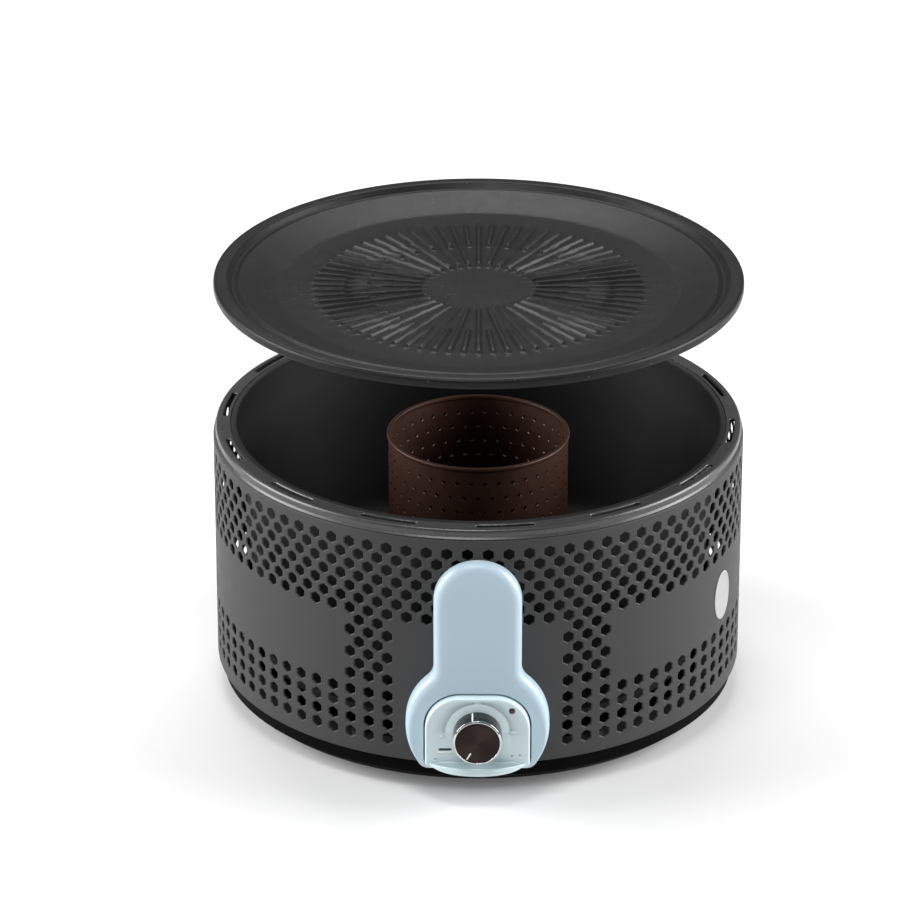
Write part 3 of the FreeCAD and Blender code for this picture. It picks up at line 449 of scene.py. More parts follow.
def drum_shell():
    shape = Shape()
    places = [(CENTRE_ANGLE * c / COLUMNS, z) for c, z in hole_places()]
    corner = HEX_FLATS / math.sqrt(3)
    wide = (HEX_FLATS + 2 * HEX_CHAMFER) / math.sqrt(3)
    point_up = math.radians(30)
    fronts = [ring_of(turn, z, wide, DRUM_R, 6, point_up) for turn, z in places]
    backs = [ring_of(turn, z, corner, DRUM_R, 6, point_up) for turn, z in places]
    loose = spaced_points(places, DRUM_R, FIELD_TOP, FIELD_LOW, HEX_CLEARANCE, FIELD_STEP,
                          2 * COLUMNS)
    edges = pierced_wall(shape, DRUM_R, SHELL_T, FIELD_TOP, FIELD_LOW, fronts, backs,
                         HEX_CHAMFER_DEPTH, loose)
    outer_top, inner_top, outer_low, inner_low = edges
    inner_r = DRUM_R - SHELL_T
    shoulder = softened([(DRUM_R, FIELD_TOP + 1, 0), (DRUM_R, SHELL_TOP - 0.6, 1.0),
                         (SHELL_RIM_R, SHELL_TOP, 0.4),
                         (SHELL_RIM_R, SHELL_TOP - SHELL_T, 0.4),
                         (inner_r, SHELL_TOP - SHELL_T, 0.8), (inner_r, FIELD_TOP + 1, 0)], False)
    hem = softened([(DRUM_R, FIELD_LOW - 1, 0), (DRUM_R, SHELL_BOTTOM, 1.4),
                    (SHELL_HEM_R, SHELL_BOTTOM, 0), (SHELL_HEM_R, SHELL_BOTTOM + SHELL_T, 0),
                    (inner_r, SHELL_BOTTOM + SHELL_T, 0.4), (inner_r, FIELD_LOW - 1, 0)], False)
    shape.chain([outer_top, *[circle(shape, r, z, RIM_STEPS) for r, z in shoulder], inner_top])
    shape.chain([outer_low, *[circle(shape, r, z, RIM_STEPS) for r, z in hem], inner_low])
    return shape.build("drum_skin", "drum", "drum_paint", ["outer_shell"])


# ---- top ring ----
def slot_loop(turn, grow):
    """A curved slot's outline as (radius, turn) points: two arcs and two round ends."""
    half = SLOT_SPAN / 2 - SLOT_W / 2 / SLOT_R
    end_r = SLOT_W / 2 + grow
    loop = []
    for side in (1, -1):
        loop += [(SLOT_R + side * end_r, turn - side * half * (1 - i / 5)) for i in range(11)]
        for i in range(1, 6):
            a = math.pi * i / 6
            loop.append((SLOT_R + side * end_r * math.cos(a),
                         turn + side * (half + end_r * math.sin(a) / SLOT_R)))
    return loop


def top_ring():
    shape = Shape()
    edge = [CENTRE_ANGLE * i / RIM_STEPS for i in range(RIM_STEPS)]
    turns = [SLOT_FIRST + CENTRE_ANGLE * i / SLOT_COUNT for i in range(SLOT_COUNT)]
    fronts = [slot_loop(turn, SLOT_CHAMFER) for turn in turns]
    backs = [slot_loop(turn, 0) for turn in turns]
    loops = [[(r * math.cos(a), r * math.sin(a)) for r, a in loop]
             for loop in [[(RING_CROWN_R, a) for a in edge], [(RING_BORE_R, a) for a in edge],
                          *fronts]]
    triangles = fill_region(loops[0], loops[1:])
    front = [(RING_CROWN_R, a) for a in edge] + [(RING_BORE_R, a) for a in edge]
    back = [(RING_R - RING_T, a) for a in edge] + [(RING_SEAT_R + RING_T, a) for a in edge]
    front += [p for loop in fronts for p in loop]
    back += [p for loop in backs for p in loop]
    top_ids = shape.add([around(r, RING_TOP, a) for r, a in front])
    low_ids = shape.add([around(r, RING_TOP - RING_T, a) for r, a in back])
    shape.cover(top_ids, triangles)
    shape.cover(low_ids, triangles)
    start = 2 * RIM_STEPS
    for loop in backs:
        span = slice(start, start + len(loop))
        neck = shape.add([around(r, RING_TOP - SLOT_CHAMFER, a) for r, a in loop])
        shape.chain([top_ids[span], neck, low_ids[span]])
        start += len(loop)
    outside = softened([
        (RING_CROWN_R, RING_TOP, 0), (RING_R, RING_TOP, 2.4), (RING_R, RING_FOOT_LOW + 1.7, 0.3),
        (RING_FOOT_R, RING_FOOT_LOW + 0.6, 0.25), (RING_FOOT_R - 0.3, RING_FOOT_LOW, 0.2),
        (RING_R - 1.1, RING_FOOT_LOW + 0.4, 0.2), (RING_R - RING_T, RING_FOOT_LOW + 1.2, 0),
        (RING_R - RING_T, RING_TOP - 2.0, 0)], False)[1:]
    shelf, under = RING_TOP - RING_T, RING_TOP - 2 * RING_T
    inside = softened([
        (RING_BORE_R, RING_TOP, 0), (RING_SEAT_R, RING_TOP, 0.35), (RING_SEAT_R, shelf, 0.1),
        (RING_SKIRT_R, shelf, 0.5), (RING_SKIRT_R, RING_SKIRT_LOW, 0.4),
        (RING_SKIRT_R + RING_T, RING_SKIRT_LOW, 0.4), (RING_SKIRT_R + RING_T, under, 0.2),
        (RING_SEAT_R + RING_T, under, 0.2), (RING_SEAT_R + RING_T, under + 1, 0)], False)[1:]
    count = RIM_STEPS
    shape.chain([top_ids[:count], *[circle(shape, r, z, count) for r, z in outside],
                 low_ids[:count]])
    shape.chain([top_ids[count:2 * count], *[circle(shape, r, z, count) for r, z in inside],
                 low_ids[count:2 * count]])
    return shape.build("ring_skin", "drum", "ring_paint", ["top_ring"])


# ---- bowl and basket ----
def bowl():
    shape = Shape()
    under, hole_top = BOWL_FLOOR_Z - BOWL_T, BOWL_FLOOR_Z + AIR_HOLE_H
    lathe(shape, softened([
        (BOWL_FLANGE_R, BOWL_FLANGE_LOW, 0.3), (BOWL_FLANGE_R, RING_TOP, 0.5),
        (BOWL_MOUTH_R, RING_TOP, 1.0), (BOWL_FLOOR_R, BOWL_FLOOR_Z, BOWL_BEND),
        (AIR_HOLE_R + BOWL_T, BOWL_FLOOR_Z, 0.6), (AIR_HOLE_R + BOWL_T, hole_top, 0.4),
        (AIR_HOLE_R, hole_top, 0.4), (AIR_HOLE_R, under, 0.4),
        (BOWL_FLOOR_R + BOWL_T, under, BOWL_BEND + BOWL_T),
        (BOWL_MOUTH_R + BOWL_T, BOWL_FLANGE_LOW, 0.3)]), BOWL_STEPS)
    return shape.build("bowl_skin", "bowl", "bowl_enamel", ["inner_bowl"])


def basket():
    shape = Shape()
    inner = BASKET_R - BASKET_T
    top, low = BASKET_TOP, BASKET_LOW
    first, last = GRATE_Z + ROWS_OVER_GRATE, top - ROWS_UNDER_RIM
    places = []
    for row in range(BASKET_ROWS):
        z = first + (last - first) * row / (BASKET_ROWS - 1)
        places += [(CENTRE_ANGLE * (c + 0.5 * (row % 2)) / BASKET_COLUMNS, z)
                   for c in range(BASKET_COLUMNS)]
    loops = [ring_of(turn, z, BASKET_HOLE_R, BASKET_R, sides=8, start=0.4) for turn, z in places]
    for i in range(VENT_COUNT):
        turn = CENTRE_ANGLE * (i + 0.5) / VENT_COUNT
        loops.append(ring_of(turn, GRATE_Z - VENT_DROP, VENT_R, BASKET_R, sides=16, start=0.0))
    edges = pierced_wall(shape, BASKET_R, BASKET_T, top - BEAD_H, low + FOOT_H, loops, loops,
                         chamfer=0.1)
    outer_top, inner_top, outer_low, inner_low = edges
    bead = softened([
        (BASKET_R, top - 3.5, 0), (BASKET_R, top - 3, 0.3), (BASKET_R + 1, top - 2, 0.4),
        (BASKET_R + 1, top, 0.9), (inner - 0.6, top, 0.8), (inner - 0.6, top - 2, 0.4),
        (inner, top - 3, 0.4), (inner, top - 3.5, 0)], False)
    shape.chain([outer_top, *[circle(shape, r, z, RIM_STEPS) for r, z in bead], inner_top])
    foot = [(BASKET_R, low + 0.3), (BASKET_R - 0.3, low), (inner + 0.3, low), (inner, low + 0.3)]
    shape.chain([outer_low, *[circle(shape, r, z, RIM_STEPS) for r, z in foot], inner_low])
    ledge_r, ledge_low = inner - LEDGE_W, GRATE_Z - BASKET_T
    lathe(shape, [(inner + 0.2, GRATE_Z), (inner + 0.2, ledge_low), (ledge_r, ledge_low),
                  (ledge_r, GRATE_Z)], LEDGE_STEPS)
    return shape.build("basket_skin", "basket", "basket_steel",
                       ["charcoal_basket", "basket_foot"])


# ---- grill plate ----
def smooth_step(x):
    x = max(0.0, min(1.0, x))
    return x * x * (3 - 2 * x)


def rib_rise(r, step):
    """The height that a rib adds to the floor at a radius, on one of the plate's spokes."""
    nearest = round(step / STEPS_PER_RIB)
    aside = r * CENTRE_ANGLE * (step - nearest * STEPS_PER_RIB) / (RIBS * STEPS_PER_RIB)
    inner = RIB_SHORT_INNER if nearest % 2 else RIB_LONG_INNER
    along = min(smooth_step((r - inner) / RIB_RAMP), smooth_step((RIB_OUTER - r) / RIB_RAMP))
    across = smooth_step((RIB_HALF_W - abs(aside)) / (RIB_SHOULDER * RIB_HALF_W))
    return RIB_H * along * across


def plate_radii():
    """Radii of the floor's rings: close together where ribs start and end."""
    radii = [*CENTRE_RINGS, RIB_LONG_INNER - HAIR]
    for inner, until in ((RIB_LONG_INNER, RIB_SHORT_INNER), (RIB_SHORT_INNER, RIB_OUTER)):
        radii += [inner + RIB_RAMP * k / 4 for k in range(1, 5)]
        stop = until - (RIB_RAMP if until == RIB_OUTER else 1.0)
        radii += [inner + RIB_RAMP + (stop - inner - RIB_RAMP) * k / RINGS_PER_SPAN
                  for k in range(1, RINGS_PER_SPAN + 1)]
        radii.append(until - (0.75 * RIB_RAMP if until == RIB_OUTER else HAIR))
    radii += [RIB_OUTER - RIB_RAMP * 0.5, RIB_OUTER - RIB_RAMP * 0.25, RIB_OUTER]
    return radii


def grill_plate():
    shape = Shape()
    steps = RIBS * STEPS_PER_RIB
    rings = [circle(shape, 0, FLOOR_Z, steps)]
    for r in plate_radii():
        rings.append(shape.add([around(r, FLOOR_Z + rib_rise(r, i), CENTRE_ANGLE * i / steps)
                                for i in range(steps)]))
    under = FLOOR_Z - PLATE_T
    step_low = LIP_BASE - LOCATOR_DEPTH
    profile = softened([
        (RIB_OUTER + 5, FLOOR_Z, 0), (SLOPE_INNER, FLOOR_Z, 14), (SLOPE_OUTER, LIP_BASE + 0.4, 16),
        (VALLEY_R - 3.2, LIP_BASE + 4.5, 1.2), (VALLEY_R, LIP_BASE + 3.2, 1.6),
        (VALLEY_R + 2.0, LIP_BASE + 3.4, 1.0), (VALLEY_R + 4.8, PLATE_TOP, 2.0),
        (PLATE_R, PLATE_TOP, 2.6), (PLATE_R, LIP_BASE, 2.0), (LOCATOR_R + 0.8, LIP_BASE, 1.0),
        (LOCATOR_R, step_low, 0.8), (LOCATOR_R - 2.4, step_low, 0.8),
        (LOCATOR_R - 3.0, LIP_BASE, 1.5), (SLOPE_OUTER + 3, LIP_BASE - 2.4, 6),
        (SLOPE_INNER + 2, under, 10), (RIB_LONG_INNER + 5, under, 0)], False)
    rings += [circle(shape, r, z, steps) for r, z in profile]
    rings.append(circle(shape, 0, under, steps))
    shape.chain(rings)
    return shape.build("plate_casting", "plate", "plate_coating", ["grill_plate"], sharp=50)


# ---- front cover ----
def arc_of(centre, radius, start, end, steps):
    """Points along an arc, leaving out its last one."""
    return [(centre[0] + radius * math.cos(start + (end - start) * i / steps),
             centre[1] + radius * math.sin(start + (end - start) * i / steps))
            for i in range(steps)]


def straight(a, b, steps):
    return [(a[0] + (b[0] - a[0]) * i / steps, a[1] + (b[1] - a[1]) * i / steps)
            for i in range(steps)]


def cover_outline(inset):
    """The cover's outline as (x, z), moved inwards by inset, with the same number of points for
    every inset: a round-topped tongue that flares into a disc with a straight foot."""
    half, disc, flare = TONGUE_HALF - inset, PANEL_R - inset, FLARE_R + inset
    low, corner, top = PANEL_LOW + inset, max(PANEL_CORNER - inset, 0.5), TONGUE_TOP - TONGUE_HALF
    flare_x = half + flare
    flare_z = PANEL_Z + math.sqrt((disc + flare) ** 2 - flare_x ** 2)
    lean = math.atan2(flare_z - PANEL_Z, flare_x)
    corner_z = low + corner
    corner_x = math.sqrt((disc - corner) ** 2 - (corner_z - PANEL_Z) ** 2)
    foot = math.atan2(corner_z - PANEL_Z, corner_x)
    right = arc_of((0, top), half, math.pi / 2, 0, 18)
    right += straight((half, top), (half, flare_z), 14)
    right += arc_of((flare_x, flare_z), flare, math.pi, math.pi + lean, 8)
    right += arc_of((0, PANEL_Z), disc, lean, foot, 26)
    right += arc_of((corner_x, corner_z), corner, foot, -math.pi / 2, 6)
    right += straight((corner_x, low), (0, low), 10)
    left = [(-x, z) for x, z in reversed(right[1:])]
    return right + [(0.0, low)] + left


def cover_edge(inset):
    """The cover's outline moved inwards, but less near the foot, where its border is narrow."""
    moved = []
    for (ax, az), (bx, bz) in zip(cover_outline(0), cover_outline(inset)):
        fade = smooth_step((az - FOOT_BORDER_Z) / FOOT_BORDER_FADE)
        share = FOOT_BORDER + (1 - FOOT_BORDER) * fade
        moved.append((ax + (bx - ax) * share, az + (bz - az) * share))
    return moved


def control_outline(inset):
    """The control plate's outline as (x, z): large round top corners and small foot corners."""
    half, top, low = CONTROL_HALF - inset, CONTROL_TOP - inset, CONTROL_LOW + inset
    big, small = CONTROL_CORNER - inset, max(CONTROL_FOOT_R - inset, 0.5)
    right = straight((0, top), (half - big, top), 4)
    right += arc_of((half - big, top - big), big, math.pi / 2, 0, 18)
    right += straight((half, top - big), (half, low + small), 10)
    right += arc_of((half - small, low + small), small, 0, -math.pi / 2, 5)
    right += straight((half - small, low), (0, low), 12)
    left = [(-x, z) for x, z in reversed(right[1:])]
    return right + [(0.0, low)] + left


def crowned(x, z, depth):
    """The y of a point on the cover's face: it falls away from the middle like a soft barrel, and
    again towards the tongue's round end."""
    end = max(0.0, (z - END_ROLL_Z) / (TONGUE_TOP - END_ROLL_Z))
    return COVER_Y + depth + COVER_CROWN * (x / TONGUE_HALF) ** 2 + END_ROLL * end * end


def grid_inside(outline, hole, spacing, margin):
    """Loose points on a grid inside an outline, outside a hole and clear of both edges."""
    xs, zs = [p[0] for p in outline], [p[1] for p in outline]
    edges = outline + hole
    points = []
    for i in range(int((max(xs) - min(xs)) / spacing)):
        for j in range(int((max(zs) - min(zs)) / spacing)):
            x = min(xs) + spacing * (i + 0.5 + 0.25 * (j % 2))
            z = min(zs) + spacing * (j + 0.5)
            if not contains(outline, x, z) or contains(hole, x, z):
                continue
            if min(math.hypot(x - a, z - b) for a, b in edges) > margin:
                points.append((x, z))
    return points


def drum_front(x):
    """The y of the cover's rear edge, just off the drum."""
    return -math.sqrt((DRUM_R + 0.1) ** 2 - x * x)


def front_cover():
    shape = Shape()
    wall = []
    outer = cover_outline(0)
    for share in (0.0, 0.5, 1.0):
        wall.append([(x, (1 - share) * drum_front(x) + share * crowned(x, z, COVER_DEEP), z)
                     for x, z in outer])
    for k in range(1, COVER_SOFT_STEPS + 1):
        a = math.pi / 2 * k / COVER_SOFT_STEPS
        inset = COVER_SOFT * (1 - math.cos(a))
        depth = COVER_DEEP * (1 - math.sin(a))
        wall.append([(x, crowned(x, z, depth), z) for x, z in cover_edge(inset)])
    rings = [shape.add(ring) for ring in wall]
    shape.chain(rings)
    edge = cover_edge(COVER_SOFT)
    mouth = control_outline(-CONTROL_GAP - 0.4)
    loose = grid_inside(edge, mouth, LOOSE_SPACING, LOOSE_MARGIN)
    triangles = fill_region(edge, [mouth], loose)
    mouth_ids = shape.add([(x, crowned(x, z, 0), z) for x, z in mouth])
    loose_ids = shape.add([(x, crowned(x, z, 0), z) for x, z in loose])
    shape.cover(rings[-1] + mouth_ids + loose_ids, triangles)
    throat = [shape.add([(x, crowned(x, z, depth), z) for x, z in control_outline(-gap)])
              for gap, depth in ((CONTROL_GAP + 0.1, 0.4), (CONTROL_GAP, 2.0))]
    back = [shape.add([(x, drum_front(x), z) for x, z in loop])
            for loop in (control_outline(-CONTROL_GAP), cover_edge(COVER_WALL))]
    shape.chain([mouth_ids, *throat, back[0]])
    under = fill_region(cover_edge(COVER_WALL), [control_outline(-CONTROL_GAP)])
    shape.cover(back[1] + back[0], under)
    shape.bridge(back[1], rings[0])
    return shape.build("cover_shell", "drum", "cover_blue", ["front_cover"], sharp=40)


# ---- control plate ----
GROOVE_R, GROOVE_W, GROOVE_DEPTH = 21.0, 2.4, 0.8
GROOVE_TAPER = (0, 0.35, 0.8)
GROOVES = ((math.radians(97), math.radians(176)), (math.radians(4), math.radians(83)))
PORT_HALF_W, PORT_HALF_H = 4.3, 1.0
LED_R = 1.8
LED_STEPS = 32
LED_DEPTH = 2.5
BUSH_R = 3.6
BUSH_DEPTH = 2.5
PORT_DEPTH = 4.0
PINHOLE_R = 0.5
PINHOLE_DEPTH = 1.2


def groove_loop(start, end, taper):
    """A curved groove's outline as (x, z) round the knob's axis, narrowed by taper."""
    steps, cap = 20, 5
    end_r = GROOVE_W / 2 - taper
    loop = []
    for side, (a, b) in ((1, (start, end)), (-1, (end, start))):
        loop += arc_of((0, KNOB_Z), GROOVE_R + side * end_r, a, b, steps)
        hub = (GROOVE_R * math.cos(b), KNOB_Z + GROOVE_R * math.sin(b))
        turn = b if side == 1 else b + math.pi
        loop += arc_of(hub, end_r, turn, turn + math.pi, cap)
    return loop


def rounded_box(cx, cz, half_w, half_h, r, steps=4):
    loop = []
    for sx, sz, a in ((1, 1, 0), (-1, 1, 90), (-1, -1, 180), (1, -1, 270)):
        start = math.radians(a)
        centre = (cx + sx * (half_w - r), cz + sz * (half_h - r))
        loop += arc_of(centre, r, start, start + math.pi / 2, steps)
        loop.append((centre[0] + r * math.cos(start + math.pi / 2),
                     centre[1] + r * math.sin(start + math.pi / 2)))
    return loop


def disc_loop(cx, cz, r, steps=24):
    return arc_of((cx, cz), r, 0, CENTRE_ANGLE, steps)


def sink(shape, mouth_ids, loops):
    """Takes a hole's mouth down through further (outline, y) rings, and closes its floor."""
    rings = [shape.add([(x, y, z) for x, z in loop]) for loop, y in loops]
    shape.chain([mouth_ids, *rings])
    shape.cover(rings[-1], fill_region(loops[-1][0], []))


def control_plate():
    shape = Shape()
    rings = [shape.add([(x, y, z) for x, z in control_outline(0)])
             for y in (COVER_Y + CONTROL_INSET, COVER_Y, CONTROL_Y + CONTROL_SOFT)]
    for k in range(1, CONTROL_SOFT_STEPS + 1):
        a = math.pi / 2 * k / CONTROL_SOFT_STEPS
        inset = CONTROL_SOFT * (1 - math.cos(a))
        y = CONTROL_Y + CONTROL_SOFT * (1 - math.sin(a))
        rings.append(shape.add([(x, y, z) for x, z in control_outline(inset)]))
    shape.chain(rings)
    grooves = [[groove_loop(a, b, taper) for taper in GROOVE_TAPER] for a, b in GROOVES]
    lamp = disc_loop(LED_X, LED_Z, LED_R + 0.4)
    port = rounded_box(PORT_X, PORT_Z, PORT_HALF_W, PORT_HALF_H, 0.9)
    pins = [disc_loop(x, z, PINHOLE_R + 0.15, 12) for x, z in PINHOLES]
    bush = disc_loop(0, KNOB_Z, BUSH_R)
    holes = [*[g[0] for g in grooves], lamp, port, *pins, bush]
    edge = control_outline(CONTROL_SOFT)
    triangles = fill_region(edge, holes)
    mouths = [shape.add([(x, CONTROL_Y, z) for x, z in hole]) for hole in holes]
    shape.cover(rings[-1] + [v for mouth in mouths for v in mouth], triangles)
    y = CONTROL_Y
    for mouth, loops in zip(mouths, grooves):
        sink(shape, mouth, [(loops[1], y + 0.25), (loops[2], y + GROOVE_DEPTH)])
    sink(shape, mouths[2], [(disc_loop(LED_X, LED_Z, LED_R + 0.1), y + 0.3),
                            (disc_loop(LED_X, LED_Z, LED_R + 0.05), y + LED_DEPTH)])
    sink(shape, mouths[3], [
        (rounded_box(PORT_X, PORT_Z, PORT_HALF_W - 0.1, PORT_HALF_H - 0.1, 0.8), y + 0.3),
        (rounded_box(PORT_X, PORT_Z, PORT_HALF_W - 0.15, PORT_HALF_H - 0.15, 0.7),
         y + PORT_DEPTH)])
    for mouth, (x, z) in zip(mouths[4:7], PINHOLES):
        sink(shape, mouth, [(disc_loop(x, z, PINHOLE_R, 12), y + PINHOLE_DEPTH)])
    sink(shape, mouths[7], [(disc_loop(0, KNOB_Z, BUSH_R - 0.05), y + BUSH_DEPTH)])
    shape.cover(rings[0], fill_region(control_outline(0), []))
    return shape.build("control_face", "drum", "control_pale", ["control_plate"], sharp=40)


def control_shelf():
    """The lip along the control plate's foot: a rounded bar that bows out in plan, with a crease
    along its nose and a dished top."""
    shape = Shape()
    bow_r = (LIP_HALF ** 2 + LIP_OUT ** 2) / (2 * LIP_OUT)
    rings = []
    back = CONTROL_Y + 1.0
    for i in range(LIP_STEPS + 1):
        x = -LIP_HALF + 2 * LIP_HALF * i / LIP_STEPS
        share = abs(x) / LIP_HALF
        nose = CONTROL_Y - math.sqrt(bow_r ** 2 - x * x) + (bow_r - LIP_OUT)
        top = LIP_TOP - 0.4 * share ** 2
        low = LIP_LOW + (top - LIP_LOW - 0.8) * share ** 6
        r = min(LIP_NOSE_R, 0.24 * (top - low), 0.5 * (CONTROL_Y - nose) + 0.05)
        crease = (low + top) / 2
        room = CONTROL_Y - nose - r
        dish = LIP_DISH * smooth_step((room - LIP_DISH_START) / LIP_DISH_FADE)
        section = [(back, low), *arc_of((nose + r, low + r), r, 1.5 * math.pi, math.pi, 5),
                   (nose, low + r), (nose, crease - LIP_CREASE), (nose + 0.3 * r, crease),
                   (nose, crease + LIP_CREASE),
                   *arc_of((nose + r, top - r), r, math.pi, math.pi / 2, 5), (nose + r, top)]
        section += [(nose + r + room * along, top + rise * dish)
                    for along, rise in LIP_DISH_PROFILE]
        section.append((back, top + LIP_DISH_END * dish))
        rings.append(shape.add([(x, y, z) for y, z in section]))
    shape.capped(rings)
    return shape.build("control_lip", "drum", "control_pale", sharp=40)


def add_stud(shape, cx, cz, half_w, half_h):
    """Adds a low rounded bar that stands on the control plate's face."""
    r = 0.98 * min(half_w, half_h)
    rings = [shape.add([(x, CONTROL_Y + y, z)
                        for x, z in rounded_box(cx, cz, half_w - i, half_h - i, r - i)])
             for i, y in ((0.0, 0.2), (0.0, -0.25), (0.2, -0.45))]
    shape.capped(rings)


def dial_marks():
    """The dial's two end marks: a low round stud and a short dash."""
    shape = Shape()
    add_stud(shape, -GROOVE_R - 1.2, KNOB_Z - 2.0, 1.0, 1.0)
    add_stud(shape, GROOVE_R + 0.8, KNOB_Z + 0.6, 2.1, 0.75)
    return shape.build("dial_marks", "drum", "control_pale", sharp=50)


def port_painted_highlight():
    """A raised edge under the charging port and up its two ends, painted white as a painted
    highlight along the port's lip.
    """
    shape = Shape()
    add_stud(shape, PORT_X, PORT_Z - PORT_HALF_H - 0.55, PORT_HALF_W + 0.5, 0.5)
    for side in (-1, 1):
        add_stud(shape, PORT_X + side * (PORT_HALF_W + 0.45), PORT_Z - 0.3, 0.3, 0.9)
    # The white paint on this edge is a painted highlight, not the plate's own colour.
    return shape.build("port_painted_highlight", "drum", "mark_white", sharp=50)


def facing_front(shape, centre_x, centre_z):
    """Turns a shape that was lathed about Z so that its axis points to the front, along -Y."""
    shape.move(lambda p: (centre_x + p.x, -p.z, centre_z + p.y))


def lamp_lens():
    shape = Shape()
    face = -CONTROL_Y
    lathe(shape, [(0, face - 1.8), (LED_R, face - 1.8), (LED_R, face - 0.1),
                  (1.65, face + 0.25), (1.3, face + 0.45), (0.7, face + 0.58), (0, face + 0.6)],
          LED_STEPS, looped=False)
    facing_front(shape, LED_X, LED_Z)
    return shape.build("lamp_lens", "drum", "lens_red", ["led_lens"])


# ---- knob ----
def knob():
    """The knob's body, its bright ring and its spun face, each lathed about the knob's axis."""
    front = -KNOB_FRONT
    back = -KNOB_BACK
    body = Shape()
    face_r = KNOB_R - BEZEL_W
    lathe(body, softened([
        (KNOB_SHAFT_R, front - 4.0, 0), (KNOB_SHAFT_R, front - 1.4, 0),
        (face_r + 0.2, front - 1.4, 0), (face_r + 0.5, front - BEZEL_H, 0),
        (KNOB_R - 0.2, front - BEZEL_H, 0.1), (KNOB_R, front - 1.9, 0.2),
        (KNOB_R, back + 0.6, 0.3), (KNOB_R - 0.5, back, 0.3), (KNOB_BORE_R, back, 0.3),
        (KNOB_BORE_R, back + 4.0, 0.3), (KNOB_SHAFT_R, back + 4.0, 0)]), KNOB_STEPS)
    facing_front(body, 0, KNOB_Z)
    body.build("knob_body", "knob", "knob_black", ["speed_knob"])
    bright = Shape()
    lathe(bright, softened([
        (KNOB_R, front - BEZEL_H, 0.1), (KNOB_R - 0.05, front - 0.7, 0.3),
        (KNOB_R - 0.8, front, 0.35), (KNOB_R - 1.3, front, 0.2), (face_r, front - 0.5, 0.1),
        (face_r, front - BEZEL_H, 0)]), KNOB_STEPS)
    facing_front(bright, 0, KNOB_Z)
    bright.build("knob_bezel", "knob", "knob_bright", ["knob_ring"])
    spun = Shape()
    lathe(spun, [(0, front - 1.3), (face_r, front - 1.3), (face_r, front - 0.6),
                 (face_r - 0.3, front - 0.45), (face_r - 4, front - 0.62),
                 (face_r - 9, front - 0.72), (0, front - 0.75)], KNOB_STEPS, looped=False)
    facing_front(spun, 0, KNOB_Z)
    spun.build("knob_disc", "knob", "knob_spun", ["knob_face"])


def knob_pointer_and_highlight():
    """The pointer on the knob's face, and a white line across its side that is a painted highlight.
    """
    shape = Shape()
    across, along = math.cos(POINTER_TURN), math.sin(POINTER_TURN)
    bar = [(x * across + z * along, KNOB_Z - x * along + z * across)
           for x, z in rounded_box(0, POINTER_R, 0.5, 2.6, 0.35)]
    shape.capped([shape.add([(x, KNOB_FRONT + sunk, z) for x, z in bar]) for sunk in (0.7, 0.42)])
    # The side line is a painted highlight: white standing for the light above reflected on the
    # knob's glossy side.
    line = rounded_box(SIDE_HIGHLIGHT_X, 0, 0.45, 5.4, 0.3)
    line_y = (KNOB_FRONT + KNOB_BACK) / 2
    shape.capped([shape.add([
        (x, y + line_y, KNOB_Z + math.sqrt((KNOB_R + lift) ** 2 - x * x)) for x, y in line])
        for lift in (-0.15, 0.1)])
    return shape.build("knob_pointer_and_painted_highlight", "knob", "mark_white", ["knob_pointer"])


# ---- badge ----
BADGE_ASPECT = 0.72
BADGE_STEPS = 64
BADGE_PROFILE = ((0.0, 0.05), (1.0, 0.05), (1.0, 0.4), (0.975, 0.6), (0.92, 0.6), (0.89, 0.4),
                 (0.6, 0.4), (0.3, 0.4), (0.0, 0.4))


def badge():
    """A blank oval plate with a narrow raised border, curved to the drum."""
    shape = Shape()
    middle = (badge_low + badge_high) / 2
    turn = math.atan2(middle.x, -middle.y)
    half_h = (badge_high.z - badge_low.z) / 2
    half_w = BADGE_ASPECT * half_h
    rings = []
    for scale, lift in BADGE_PROFILE:
        if scale == 0:
            rings.append(shape.add([around(DRUM_R + lift, middle.z, turn)]))
            continue
        rings.append(shape.add([
            around(DRUM_R + lift, middle.z + scale * half_h * math.sin(a),
                   turn + scale * half_w * math.cos(a) / DRUM_R)
            for a in (CENTRE_ANGLE * i / BADGE_STEPS for i in range(BADGE_STEPS))]))
    shape.chain(rings)
    return shape.build("badge_plate", "drum", "badge_grey", ["blank_badge"])


# ---- materials ----
GRAIN_DEPTH = 0.0004
STEEL_STRETCH = (1.0, 1.0, 18.0)
finishes = {}


def shaded(hue, factor):
    return tuple(min(1.0, c * factor) for c in hue[:3]) + (1.0,)


def connect(made, node, inputs):
    """Sets a node's inputs: each one is a plain value, or the output that feeds it."""
    for socket, value in inputs.items():
        if isinstance(value, bpy.types.NodeSocket):
            made.node_tree.links.new(value, node.inputs[socket])
        else:
            node.inputs[socket].default_value = value


def new_node(made, kind, inputs, **settings):
    node = made.node_tree.nodes.new(kind)
    for name, value in settings.items():
        setattr(node, name, value)
    connect(made, node, inputs)
    return node


def new_material(name):
    made = bpy.data.materials.new(name)
    finishes[name] = made
    made.use_nodes = True
    where = new_node(made, "ShaderNodeTexCoord", {}).outputs["Object"]
    return made, made.node_tree.nodes["Principled BSDF"], where


